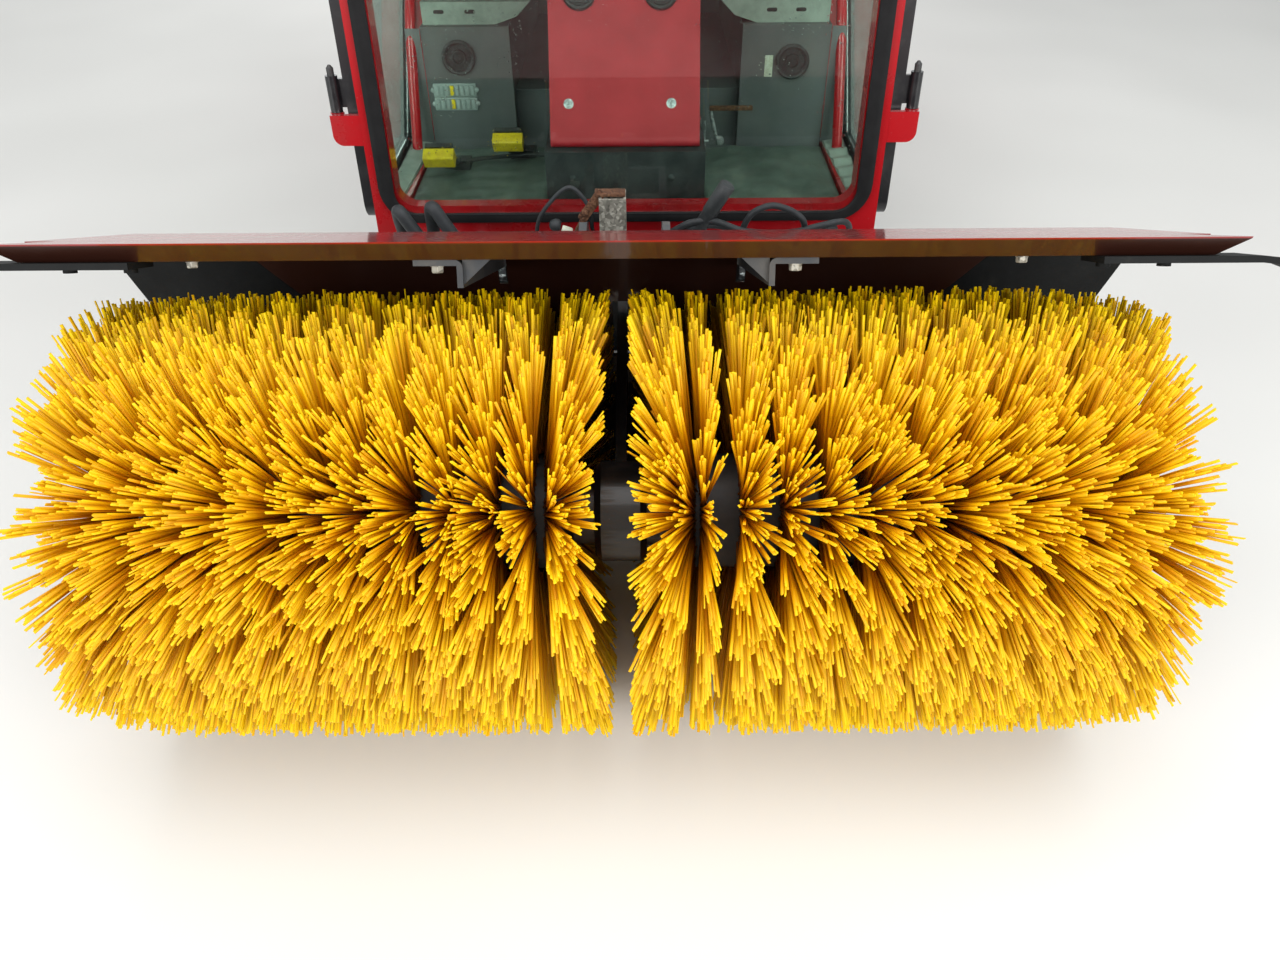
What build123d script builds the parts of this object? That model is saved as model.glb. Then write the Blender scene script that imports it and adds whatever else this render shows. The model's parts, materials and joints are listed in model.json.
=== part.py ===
from build123d import *
import math
import os

# Compact articulated road sweeper, in millimetres.
# +Z is up, -Y is the way it drives forward, +X is the machine's left side.
# A two-seat cab stands on the front frame, and the engine lies under a hood on the rear frame.
# The two frames meet at a vertical pin between the axles, which is the steering.
# A lift arm ahead of the cab carries a two-part roller broom under a folded steel hood.
# Places along the machine are measured from the articulation pin and moved at export,
# so that the origin of the files lies on the ground under the middle of the whole machine.

# Overall places
cab_front = -1500.0
cab_rear = -170.0
broom_axis_from_cab = 919.0
front_axle_y = -575.0
rear_axle_y = 770.0
tow_y = 1272.0
tow_radius = 13.0
tow_lug = 28.0
tow_z = 374.0
tow_plate = 26.0
rear_body_front = 300.0
rear_body_rear = 1240.0
bumper_depth = 60.0
rear_body_half = 490.0
cover_hinge = (1252.0, 726.0)
lamp_x = (330.0, 440.0)
lamp_z = (462.0, 528.0)
lamp_deep = 14.0
seat_gap = 0.3

# Wheels
tyre_radius = 320.0
tyre_width = 266.0
rim_radius = 165.0
rim_wall = 6.0
track_half = 455.0
arch_radius = 368.0
hub_radius = 62.0
stud_ring = 71.0
stud_radius = 7.0
stud_count = 5
lug_count = 22
fender_half = 598.0
lug_depth = 14.0

# Cab
cab_bottom = 385.0
cab_top = 1870.0
cab_half = 570.0
pillar = 55.0
lean = 4.0
front_frame_depth = 40.0
bottom_rail = 76.0
top_rail = 80.0
screen_corner = 45.0
seal_width = 20.0
seal_depth = 12.0
glass = 6.0
screen_overlap = 15.0
rear_wall = 30.0
rear_window = (440.0, 1180.0, 1800.0)
roof_height = 92.0
roof_overhang = 14.0
roof_wall = 22.0

# Doors
door_inner = 576.0
door_leaf = 24.0
door_lap = 18.0
door_border = 34.0
door_front_gap = 30.0
door_rear = -700.0
hinge_out = 625.0
hinge_back = 36.0
hinge_barrel = 13.0
hinge_pin_heights = (209.0, 1184.0)
hinge_bracket_height = 64.0
hinge_sleeve = 74.0
hinge_gap = 1.0
hinge_pin = 6.0
mirror_z = 1490.0
beacon_place = (-360.0, -330.0)

# Cab inside
floor_z = 400.0
floor_thickness = 18.0
tunnel_half = 172.0
tunnel_front = -1200.0
tunnel_top = 555.0
tub_half = 510.0
tub_wall = 12.0
seat_box_front = -1025.0
seat_box_top = 720.0
seat_front = -970.0
seat_box_inner = 290.0
seat_x = 350.0
seat_width = 310.0
seat_pan = (505.0, 325.0, 270.0, 235.0)
console_half = 167.0
console_foot = 564.0
console_base_half = 180.0
base_ahead = 12.0
console_ahead = 26.0
pedal_places = ((-457.0, -1255.0, 480.0), (-295.0, -1185.0, 492.0))
pedal_pad = (74.0, 34.0, 34.0)

# Front frame
rail_x = 130.0
rail_thickness = 14.0
rail_low = (270.0, 399.7)
rail_high = (370.3, 499.7)
axle_beam = 100.0
pivot_y = 0.0
pin_radius = 30.0
pin_clearance = 0.4
lug_radius = 62.0
lug_plate = 25.0
steer_foot = (95.0, -490.0)
steer_eye = (95.0, 0.0)
steer_z = 262.0
front_lugs = (300.0, 497.0)
rear_lugs = (332.0, 465.0)

# Front linkage and broom
lift_y = -1545.0
lift_z = 330.0
lift_foot = (-1190.0, 290.0)
lift_lever = 96.0
arm_half = 95.0
arm_plate = 16.0
swivel_y = -1840.0
swivel_z = (330.0, 480.0)
swivel_radius = 32.0
brush_radius = 350.0
brush_base = 104.0
core_radius = 90.0
core_half = 742.0
core_gap = 88.0
shaft_radius = 30.0
centre_arm_half = 9.0
tufts_round = 18
ring_pitch = 60.0
ring_first = 183.0
ring_count = 10
ring_foot = 15.0
near_rings = {
    1: ((108.0, 14.0, 88.0, 350.0), (124.0, 102.0, 134.0, 350.0)),
    -1: ((108.0, 14.0, 87.0, 350.0), (128.0, 104.0, 151.0, 350.0)),
}
beam_size = 80.0
beam_y = -1938.0
beam_z = 470.0
beam_half = 560.0
angle_foot = (-165.0, -1605.0)
angle_eye = (-214.0, -1930.0)
angle_z = 396.0
post_x = -25.0

# Hood over the broom, places from the broom's axis
hood_half = 830.0
hood_sheet = 4.0
hood_lip = (12.0, 806.0)
hood_slope = 23.0
hood_length = 400.0
hood_flange = 32.0
hood_flange_back = 18.0
hood_return = 60.0
hood_rear_foot = (402.0, 330.0)
hood_corner = (636.0, 532.0, 50.0, 166.0)
iron_x = 205.0
iron_wall = 8.0
iron_wide = 66.0
iron_deep = 37.0
flap_half = 880.0
arm_slot = (392.0, 512.0)

broom_axis = cab_front - broom_axis_from_cab
machine_front = broom_axis - brush_radius
machine_rear = rear_body_rear + bumper_depth
to_middle = -(machine_front + machine_rear) / 2
sides = (-1, 1)
tan_lean = math.tan(math.radians(lean))


# Shape helpers

def block(x, y, z):
    """A box between a (low, high) pair on each axis."""
    size = Box(x[1] - x[0], y[1] - y[0], z[1] - z[0])
    return Pos((x[0] + x[1]) / 2, (y[0] + y[1]) / 2, (z[0] + z[1]) / 2) * size


def bar(start, end, radius):
    """A round bar from one point to another."""
    reach = Vector(*end) - Vector(*start)
    place = Plane(origin=start, z_dir=reach)
    return place * Cylinder(radius, reach.length, align=(Align.CENTER, Align.CENTER, Align.MIN))


def outline(points, corner=0.0):
    """A flat face through the points, with all its corners rounded."""
    face = make_face(Polyline(*points, close=True))
    return fillet(face.vertices(), corner) if corner else face


def side_plate(face, x):
    """A face drawn in (Y, Z), as thick as the (low, high) pair of X."""
    return extrude(Plane.YZ.offset(x[0]) * face, amount=x[1] - x[0], dir=(1, 0, 0))


def cross_plate(face, y):
    """A face drawn in (X, Z), as thick as the (low, high) pair of Y."""
    place = Plane(origin=(0, y[0], 0), x_dir=(1, 0, 0), z_dir=(0, -1, 0))
    return extrude(place * face, amount=y[1] - y[0], dir=(0, 1, 0))


def flat_plate(face, z):
    """A face drawn in (X, Y), as thick as the (low, high) pair of Z."""
    return extrude(Plane.XY.offset(z[0]) * face, amount=z[1] - z[0], dir=(0, 0, 1))


def folded_strip(points, thickness):
    """The section of a sheet folded along the points, with the points on its outer side."""
    inner = []
    for i, (a, b) in enumerate(points):
        before = points[max(i - 1, 0)]
        after = points[min(i + 1, len(points) - 1)]
        normals = []
        for p, q in ((before, (a, b)), ((a, b), after)):
            run = math.dist(p, q)
            if run > 0:
                normals.append(((q[1] - p[1]) / run, -(q[0] - p[0]) / run))
        n, m = normals[0], normals[-1]
        share = thickness / (1 + n[0] * m[0] + n[1] * m[1])
        inner.append((a + share * (n[0] + m[0]), b + share * (n[1] + m[1])))
    return outline(points + inner[::-1])


def both_sides(shape):
    """The shape and its mirror image across the machine's middle plane."""
    return shape + mirror(shape, about=Plane.YZ)


def wheel_cut(axle_y, x):
    """The round space that a wheel needs, between two X values."""
    return bar((x[0], axle_y, tyre_radius), (x[1], axle_y, tyre_radius), arch_radius)


def save(name, shape):
    """Writes one node's STEP file, with the origin under the machine's middle."""
    export_step(Pos(0, to_middle, 0) * shape, f"parts/{name}.step")


# The plane of the windscreen, which leans back; its Y runs up the screen and +Z points out
screen_plane = Plane(
    origin=(0, cab_front, cab_bottom),
    x_dir=(1, 0, 0),
    z_dir=(0, -math.cos(math.radians(lean)), math.sin(math.radians(lean))),
)
screen_height = (cab_top - cab_bottom) / math.cos(math.radians(lean))


def on_screen(x, up, out):
    """The machine's point for a place on the screen plane, with out ahead of it."""
    return screen_plane.from_local_coords(Vector(x, up, out))


def front_at(z):
    """Y of the windscreen plane at a height."""
    return cab_front + (z - cab_bottom) * tan_lean


def screen_rect(half, low, high, corner):
    """A rounded rectangle drawn on the windscreen plane."""
    face = Pos(0, (low + high) / 2) * Rectangle(2 * half, high - low)
    return fillet(face.vertices(), corner) if corner else face


# Wheels

def tyre(side, axle_y):
    half = tyre_width / 2
    bead = rim_radius + rim_wall + seat_gap
    shoulder = tyre_radius - 42
    tread = tyre_radius - lug_depth
    section = outline([
        (-half + 31, bead), (-half + 31, bead + 13), (-half + 8, bead + 30), (-half, bead + 62),
        (-half + 4, shoulder),
        (-half + 30, tread - 4), (-half + 62, tread), (half - 62, tread), (half - 30, tread - 4),
        (half - 4, shoulder), (half, bead + 62), (half - 8, bead + 30), (half - 31, bead + 13),
        (half - 31, bead),
    ])
    body = revolve(Plane.XZ * section, axis=Axis.X)
    lug = block((18, half - 12), (-19, 19), (tread - 40, tyre_radius - 1.2))
    lug = Rot(Z=24) * lug & block((6, half - 2), (-80, 80), (tread - 30, tyre_radius))
    lugs = []
    for i in range(lug_count):
        turn = 360 / lug_count
        lugs.append(Rot(X=i * turn) * lug)
        lugs.append(Rot(X=(i + 0.5) * turn) * mirror(lug, about=Plane.YZ))
    round_edge = Rot(Y=90) * Cylinder(tyre_radius, tyre_width)
    body = (body + lugs) & round_edge
    return Pos(side * track_half, axle_y, tyre_radius) * body


def rim(side, axle_y):
    half = tyre_width / 2 - 30
    disc_at = 52.0
    well = rim_radius - 24
    section = outline([
        (-half - 8, rim_radius + rim_wall + 12), (-half, rim_radius + rim_wall + 12),
        (-half, rim_radius + rim_wall), (-half + 46, rim_radius + rim_wall),
        (-half + 70, well + rim_wall), (half - 70, well + rim_wall),
        (half - 46, rim_radius + rim_wall), (half, rim_radius + rim_wall),
        (half, rim_radius + rim_wall + 12), (half + 8, rim_radius + rim_wall + 12),
        (half + 8, rim_radius), (half - 44, rim_radius), (half - 68, well),
        (disc_at + 8, well), (disc_at + 30, hub_radius + 66), (disc_at + 8, hub_radius + 50),
        (disc_at + 8, hub_radius - 20), (disc_at, hub_radius - 20), (disc_at, hub_radius + 54),
        (disc_at + 20, hub_radius + 68), (disc_at - 2, well), (-half + 68, well),
        (-half + 44, rim_radius), (-half - 8, rim_radius),
    ])
    body = revolve(Plane.XZ * section, axis=Axis.X)
    hole = bar((disc_at - 20, 0, stud_ring), (disc_at + 40, 0, stud_ring), stud_radius + 1.5)
    for i in range(stud_count):
        body -= Rot(X=i * 360 / stud_count) * hole
    turned = body if side > 0 else mirror(body, about=Plane.YZ)
    return Pos(side * track_half, axle_y, tyre_radius) * turned


def axle(axle_y, low):
    """The beam under the rails, with a hydraulic wheel motor at each end."""
    inner_face = track_half + 52 - 0.4
    depth = (axle_y - axle_beam / 2, axle_y + axle_beam / 2)
    beam = block((-track_half + 90, track_half - 90), depth, (low, low + axle_beam))
    hub = []
    for start, end, radius in (
        (track_half - 150, inner_face - 26, 84), (inner_face - 30, inner_face, hub_radius + 36),
        (inner_face - 5, inner_face + 34, hub_radius - 20.6),
    ):
        hub.append(bar((start, axle_y, tyre_radius), (end, axle_y, tyre_radius), radius))
    return beam + both_sides(hub[0] + hub[1:])


# Front frame

def front_chassis():
    """Two rails with cross members, the pivot lugs at the rear and the linkage bosses in front."""
    low, high = rail_low, rail_high
    lug_back = -138.0
    sill = cab_bottom - seat_gap
    profile = outline([
        (lift_y + 30, low[0]), (-1010, low[0]), (-900, high[0]), (-480, high[0]),
        (lug_back, high[0] - 50), (lug_back, high[1]), (-930, high[1]), (-1010, low[1]),
        (cab_front + 46, low[1]), (cab_front + 46, sill), (lift_y + 30, low[1] - 30),
    ])
    wall = (rail_x - rail_thickness / 2, rail_x + rail_thickness / 2)
    frame = both_sides(side_plate(profile, wall))
    inner = wall[0] + 1
    for y, z in ((-1440, (310, low[1])), (-1000, (340, low[1])), (-760, high), (-330, high)):
        frame += block((-inner, inner), (y, y + 14), z)
    lugs_z = (front_lugs[0], front_lugs[1] + lug_plate)
    frame += block((-wall[1], wall[1]), (lug_back - 1, lug_back + 22), lugs_z)
    for z in front_lugs:
        lug = block((-lug_radius, lug_radius), (lug_back + 21, 0), (z, z + lug_plate))
        lug += Pos(0, 0, z + lug_plate / 2) * Cylinder(lug_radius, lug_plate)
        bore = Cylinder(pin_radius + pin_clearance, lug_plate * 2)
        frame += lug - Pos(0, 0, z + lug_plate / 2) * bore
    boss = bar((wall[0], lift_y, lift_z), (wall[1], lift_y, lift_z), 38)
    web = block(wall, (lift_y, lift_y + 34), (lift_z - 38, lift_z + 38))
    frame += both_sides(boss + web)
    frame -= bar((-rail_x - 20, lift_y, lift_z), (rail_x + 20, lift_y, lift_z), 20.4)
    y, z = lift_foot
    shelf = block((-inner, inner), (y - 50, y + 50), (z + 46, z + 58))
    cheek = block((26, 38), (y - 26, y + 26), (z - 26, z + 47)) - bar((0, y, z), (60, y, z), 10.4)
    frame += shelf + both_sides(cheek)
    x, y = steer_foot
    hanger = block(wall, (y - 26, y + 26), (steer_z - 26, high[0] + 2))
    for low_face, high_face in ((steer_z - 26, steer_z - 18), (steer_z + 18, steer_z + 26)):
        plate = block((x - 26, rail_x), (y - 26, y + 26), (low_face, high_face))
        hanger += plate - Pos(x, y, low_face) * Cylinder(10.4, 40)
    return frame + hanger


def cab_tub():
    """Floor pans, tunnel and seat boxes, folded from sheet as one welded piece."""
    top = floor_z + floor_thickness
    front = cab_front + front_frame_depth + 6
    rear = cab_rear - rear_wall - 2
    bulkhead = seat_box_front + 60
    under, wall, inner = floor_z - 1, tub_wall, seat_box_inner
    ceiling = tunnel_top - wall
    duct = (-tunnel_half + wall, tunnel_half - wall)
    across = (-inner - 1, inner + 1)
    tub = block((-tub_half, tub_half), (front, seat_box_front + wall), (floor_z, top))
    tub -= block(duct, (tunnel_front, bulkhead + 1), (under, top + 1))
    tunnel = block((-tunnel_half, tunnel_half), (tunnel_front, bulkhead), (floor_z, tunnel_top))
    tub += tunnel - block(duct, (tunnel_front - 1, bulkhead + 1), (under, ceiling))
    box = block((inner, tub_half), (seat_box_front, rear), (floor_z, seat_box_top))
    hollow_y = (seat_box_front + wall, rear - wall)
    box -= block((inner + wall, tub_half - wall), hollow_y, (under, seat_box_top - wall))
    tub += both_sides(box)
    middle = block(across, (bulkhead - wall, rear), (floor_z + 105, tunnel_top))
    middle -= block((-inner - 2, inner + 2), (bulkhead, rear + 1), (floor_z + 104, ceiling))
    middle += block(across, (rear - wall, rear), (floor_z + 105, seat_box_top))
    back = block(across, (bulkhead - wall, bulkhead), (floor_z, tunnel_top))
    tub += middle + (back - block(duct, (seat_box_front, bulkhead + 10), (under, ceiling)))
    arch = wheel_cut(front_axle_y, (inner + wall, tub_half + 5))
    return tub - both_sides(arch)


def door_points(grow):
    """Corners of the door opening in (Y, Z), moved out by grow."""
    low, high = cab_bottom + 45 - grow, cab_top - 62 + grow
    front_low = front_at(low) + door_front_gap + 18 - grow
    front_high = front_at(high) + door_front_gap + 18 - grow
    slant = grow * 0.36
    return [
        (front_low, low), (-1000 + slant, low), (-790 + grow, 700 - slant),
        (door_rear + grow, 820 - slant), (door_rear + grow, high), (front_high, high),
    ]


def cab_frame():
    side = outline([
        (cab_front, cab_bottom), (cab_rear, cab_bottom), (cab_rear, cab_top), (front_at(cab_top), cab_top),
    ])
    side -= outline(door_points(0), 32)
    quarter = outline([(-640, 800), (-250, 800), (-250, 1800), (-640, 1800)], 50)
    wall = side_plate(side - quarter, (cab_half - pillar, cab_half))
    wall -= wheel_cut(front_axle_y, (cab_half - pillar - 1, cab_half + 1))
    wall -= block((0, cab_half + 1), (-320, cab_rear + 1), (cab_bottom - 1, 560))
    ring = screen_rect(cab_half, 0, screen_height, 0)
    ring -= screen_rect(cab_half - pillar, bottom_rail, screen_height - top_rail, screen_corner)
    front = extrude(screen_plane * ring, amount=-front_frame_depth)
    half, low, high = rear_window
    rear_face = outline([
        (-cab_half, 560), (cab_half, 560), (cab_half, cab_top), (-cab_half, cab_top),
    ])
    rear_face -= outline([(-half, low), (half, low), (half, high), (-half, high)], 60)
    rear = cross_plate(rear_face, (cab_rear - rear_wall, cab_rear))
    header = block((-cab_half, cab_half), (-900, -840), (cab_top - 30, cab_top))
    frame = both_sides(wall) + front + rear + header
    return frame & block((-cab_half, cab_half), (cab_front - 5, cab_rear), (cab_bottom, cab_top))


def cab_roof():
    front = front_at(cab_top) - 34
    rear = cab_rear + 26
    half = cab_half + roof_overhang
    low = cab_top + seat_gap
    shell = block((-half, half), (front, rear), (low, low + roof_height))
    shell = fillet(shell.edges().filter_by(Axis.Z), 110)
    shell = fillet(shell.edges().group_by(Axis.Z)[-1], 46)
    wall = roof_wall
    hollow_z = (low - 1, low + roof_height - wall)
    hollow = block((-half + wall, half - wall), (front + wall, rear - wall), hollow_z)
    hollow = fillet(hollow.edges().filter_by(Axis.Z), 110 - wall)
    lining = block((-cab_half + 10, cab_half - 10), (front + 44, rear - 40), (low, low + 10))
    return (shell - hollow) + fillet(lining.edges().filter_by(Axis.Z), 90)


def windscreen():
    half = cab_half - pillar + screen_overlap
    low, high = bottom_rail - screen_overlap, screen_height - top_rail + screen_overlap
    pane = screen_rect(half, low, high, screen_corner + screen_overlap)
    return extrude(screen_plane.offset(2) * pane, amount=glass)


def windscreen_seal():
    half = cab_half - pillar + screen_overlap + seat_gap
    low = bottom_rail - screen_overlap - seat_gap
    high = screen_height - top_rail + screen_overlap + seat_gap
    corner = screen_corner + screen_overlap
    edge = seal_width
    ring = screen_rect(half + edge, low - edge, high + edge, corner + edge)
    ring -= screen_rect(half, low, high, corner)
    return extrude(screen_plane.offset(seat_gap) * ring, amount=seal_depth)


def fixed_glass():
    """Rear window and the two panes behind the doors."""
    half, low, high = rear_window
    g = seat_gap
    pane = outline([
        (-half + g, low + g), (half - g, low + g), (half - g, high - g), (-half + g, high - g),
    ], 60 - g)
    rear = cross_plate(pane, (cab_rear - 18, cab_rear - 18 + glass))
    quarter = outline([
        (-640 + g, 800 + g), (-250 - g, 800 + g), (-250 - g, 1800 - g), (-640 + g, 1800 - g),
    ], 50 - g)
    side = side_plate(quarter, (cab_half - 20, cab_half - 20 + glass))
    return Compound([rear, side, mirror(side, about=Plane.YZ)])


def door(side):
    """One door leaf with its glass; the hinge sleeves stand outside the front edge."""
    outer = door_inner + door_leaf
    leaf = side_plate(outline(door_points(door_lap), 40), (door_inner, outer))
    window = outline(door_points(door_lap - door_border), 26)
    leaf -= side_plate(window, (door_inner - 1, outer + 1))
    pane_face = outline(door_points(door_lap - door_border - seat_gap), 26)
    pane = side_plate(pane_face, (door_inner + 9, door_inner + 9 + glass))
    for height in hinge_pin_heights:
        low = height + hinge_bracket_height + hinge_gap
        start = on_screen(hinge_out, low, -hinge_back)
        end = on_screen(hinge_out, low + hinge_sleeve, -hinge_back)
        sleeve = bar(start, end, hinge_barrel) - bar(start, end, hinge_pin + 0.35)
        middle = Pos((outer + hinge_out) / 2 - 1, low + hinge_sleeve / 2, -hinge_back - 8)
        tongue = screen_plane * middle * Box(hinge_out - outer + 2, hinge_sleeve - 16, 12)
        tongue -= bar(start, end, hinge_barrel - 1)
        leaf += sleeve + tongue
    grip = block((outer - 1, outer + 34), (door_rear - 34, door_rear - 14), (900, 1040))
    grip -= block((outer, outer + 22), (door_rear - 40, door_rear - 8), (918, 1022))
    leaf += grip
    if side > 0:
        return leaf, pane
    return mirror(leaf, about=Plane.YZ), mirror(pane, about=Plane.YZ)


def hinge_brackets():
    """Red brackets on the front pillars, each with the barrel that its pin stands in."""
    out = []
    near, far = cab_half + seat_gap, hinge_out + hinge_barrel - 4
    tall = hinge_bracket_height
    for height in hinge_pin_heights:
        start = on_screen(hinge_out, height + tall / 2, -hinge_back)
        end = on_screen(hinge_out, height + tall, -hinge_back)
        tip = on_screen(hinge_out, height + tall + hinge_gap + hinge_sleeve + 14, -hinge_back)
        barrel = bar(start, end, hinge_barrel + 2) + bar(start, tip, hinge_pin)
        sheet = Pos((near + far) / 2, height + tall / 2) * Rectangle(far - near, tall)
        low_corner = sheet.vertices().sort_by(lambda v: v.X - v.Y)[-1]
        arm = extrude(screen_plane.offset(-4) * fillet(low_corner, 22), amount=-16)
        web = screen_plane * Pos(hinge_out - 4, height + tall * 0.72, -22) * Box(16, tall * 0.56, 32)
        out.append(barrel + arm + web)
    one = Compound(out)
    return Compound([one, mirror(one, about=Plane.YZ)])


def console():
    """Red column between the two footwells, leaning back as it rises."""
    front = cab_front + front_frame_depth + console_ahead
    profile = outline([
        (front, console_foot), (front + 200, 930), (front + 206, 1059), (front + 330, 1040),
        (front + 310, 930), (front + 250, console_foot),
    ], 12)
    return side_plate(profile, (-console_half, console_half))


def console_base():
    depth = (cab_front + front_frame_depth + base_ahead, tunnel_front - seat_gap)
    height = (floor_z + floor_thickness + seat_gap, console_foot - seat_gap)
    return block((-console_base_half, console_base_half), depth, height)


def dashboard():
    """Instrument pod on the console's top, reaching to the driver, with the steering wheel."""
    face = outline([(-1228, 1059.4), (-1085, 1037.4), (-1060, 1100), (-1120, 1180), (-1215, 1160)], 14)
    pod = side_plate(face, (-440, 150))
    column = bar((-seat_x, -1120, 1110), (-seat_x, -998, 1176), 24)
    centre, tilt = Vector(-seat_x, -995, 1178), 62
    lie = math.radians(90 - tilt)
    place = Plane(origin=centre, x_dir=(1, 0, 0), z_dir=(0, math.cos(lie), math.sin(lie)))
    ring = place * Torus(150, 12)
    hub = place * Cylinder(42, 26)
    spokes = place * (Box(290, 26, 10) + Pos(0, -72, 0) * Box(26, 144, 10))
    return pod + column + ring + hub + spokes


def pedals():
    arms, pads = [], []
    wide, thick, tall = pedal_pad
    floor = floor_z + floor_thickness
    for x, y, z in pedal_places:
        place = Pos(x, y, z) * Rot(X=28)
        pads.append(place * fillet(Box(wide, thick, tall).edges().filter_by(Axis.X), 5))
        under = place * Pos(0, thick / 2 + 6 + seat_gap, 0) * Box(wide - 8, 12, tall + 4)
        arm = bar((x, y + 34, z - 2), (x + 24, y + 92, floor + 12), 9)
        foot = block((x - 6, x + 60), (y + 70, y + 112), (floor + seat_gap, floor + 26))
        arms.append(under + arm + foot)
    return Compound(arms), Compound(pads)


def seats():
    """Steel pans on the seat boxes, with a squab and a leaning back on each."""
    half = seat_width / 2
    low = seat_box_top + seat_gap
    top = low + 52
    outer, flat, bend, inner = seat_pan
    lip = outline([(outer, top), (outer, low), (flat, low), (bend, low + 18), (inner, top)])
    pan = cross_plate(lip, (seat_front - 34, seat_front + 550))
    across = (seat_x - half + 10, seat_x + half - 10)
    squab = block(across, (seat_front - 20, seat_front + 440), (top + seat_gap, low + 150))
    squab = fillet(squab.edges(), 28)
    back = Rot(X=-9) * fillet(Box(2 * half - 20, 88, 590).edges(), 34)
    box = back.bounding_box()
    back = Pos(seat_x, seat_front + 452 - box.min.Y, top + seat_gap - box.min.Z) * back
    pair = Compound([squab, back])
    cushions = Compound([pair, mirror(pair, about=Plane.YZ)])
    return Compound([pan, mirror(pan, about=Plane.YZ)]), cushions


def mirrors():
    """A mirror on each front pillar's side, ahead of the door's edge."""
    z = mirror_z
    y = front_at(z)
    foot = block((cab_half + seat_gap, cab_half + 16), (y + 3, y + 20), (z - 36, z + 36))
    stalk = bar((cab_half + 10, y + 8, z), (cab_half + 120, y - 92, z), 10)
    rise = bar((cab_half + 120, y - 92, z - 150), (cab_half + 120, y - 92, z + 150), 10)
    head = block((cab_half + 42, cab_half + 198), (y - 136, y - 94), (z - 130, z + 130))
    head = fillet(head.edges(), 18)
    return both_sides(foot + stalk + rise + head)


def roof_lamps():
    """Two driving lamps under the roof's front edge, each a turned bowl with a bezel."""
    y = front_at(cab_top) - 34
    bowl = outline([
        (0, -2), (24, -2), (40, -22), (44, -52), (50, -52), (50, -62), (44, -66), (43, -60), (0, -56),
    ])
    lamp = Pos(380, y, cab_top - 34) * revolve(Plane.XY * bowl, axis=Axis.Y)
    lamp += block((366, 394), (y - 20, y + 30), (cab_top - 34, cab_top + 30))
    lamp -= block((300, 460), (y - 10, y + 40), (cab_top - 90, cab_top + seat_gap))
    lamp -= block((300, 460), (y - seat_gap, y + 60), (cab_top, cab_top + 60))
    return both_sides(lamp)


def beacon():
    """Amber lamp turned about its own axis, on a stepped foot."""
    top = cab_top + seat_gap + roof_height + seat_gap
    section = outline([
        (0, 0), (66, 0), (66, 18), (58, 26), (54, 26), (56, 40), (52, 104), (42, 120), (22, 128), (0, 128),
    ])
    return Pos(*beacon_place, top) * revolve(Plane.XZ * section, axis=Axis.Z)


def wiper():
    """Parked wiper hanging from the top rail down the screen's middle."""
    motor = screen_plane * Pos(0, screen_height - 34, seal_depth + 12) * Box(70, 44, 22)
    arm = screen_plane * Pos(0, screen_height - 260, seal_depth + 8) * Box(14, 420, 8)
    blade = screen_plane * Pos(0, screen_height - 470, 12.6) * Box(10, 480, 8)
    return motor + arm + blade


def front_couplings():
    """Couplings beside the front rails, from which the broom's hoses rise."""
    out = []
    for side, places in ((-1, (350, 400, 440, 480)), (1, (195, 245, 295, 345, 395, 445))):
        near, far = rail_x + 7 + seat_gap, 520
        group = block((near, far), (cab_front - 14, cab_front + 30), (338, 372))
        plate_x = (places[0] - 30, places[-1] + 30)
        group += block(plate_x, (cab_front - 24, cab_front - 13), (330, 382))
        for x in places:
            group += bar((x, cab_front - 20, 357), (x, cab_front - 58, 357), 15)
        out.append(group if side > 0 else mirror(group, about=Plane.YZ))
    return Compound(out)


# Front linkage

def lift_arm():
    """Arm that lifts the broom, from its pivot tube to the ears of the swivel pin."""
    front = swivel_y + 56
    plate = outline([
        (lift_y + 30, lift_z - 30), (lift_y + 30, lift_z + 34), (lift_y - 60, 470), (lift_y - 130, 500),
        (front, swivel_z[1]), (front, swivel_z[0] - 30), (lift_y - 60, lift_z - 60),
    ])
    arm = both_sides(side_plate(plate, (arm_half - arm_plate, arm_half)))
    arm += bar((-arm_half, lift_y, lift_z), (arm_half, lift_y, lift_z), 34)
    arm += bar((-rail_x - 16, lift_y, lift_z), (rail_x + 16, lift_y, lift_z), 20)
    arm += block((-arm_half, arm_half), (front, front + 27), (swivel_z[0] - 10, swivel_z[1]))
    for z in (swivel_z[0] + 16, swivel_z[1] - 40):
        middle = Pos(0, swivel_y, z + 12)
        ear = block((-46, 46), (swivel_y, front + 1), (z, z + 24)) + middle * Cylinder(46, 24)
        arm += ear - middle * Cylinder(swivel_radius + 0.4, 60)
    lever = side_plate(outline([
        (lift_y - 28, lift_z), (lift_y + 28, lift_z),
        (lift_y + 20, lift_z - lift_lever - 16), (lift_y - 20, lift_z - lift_lever - 16),
    ]), (24, 36))
    arm += both_sides(lever)
    arm += bar((35, lift_y, lift_z - lift_lever), (42, lift_y, lift_z - lift_lever), 13)
    arm += bar((-35, lift_y, lift_z - lift_lever), (-42, lift_y, lift_z - lift_lever), 13)
    x, y = angle_foot
    for z in (angle_z - 27, angle_z + 19):
        shelf = block((x - 24, -arm_half + 1), (y - 24, y + 24), (z, z + 8))
        arm += shelf - Pos(x, y, z) * Cylinder(9.4, 40)
    return arm


def coupler_post():
    """Upright hollow post of the quick hitch on its foot plate."""
    y = lift_y - 96
    post = block((post_x - 28, post_x + 28), (y - 26, y + 26), (440, 546))
    post -= block((post_x - 23, post_x + 23), (y - 21, y + 21), (446, 547))
    side = arm_half - arm_plate - seat_gap
    return post + block((-side, side), (y - 40, y + 40), (428, 440.5))


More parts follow.
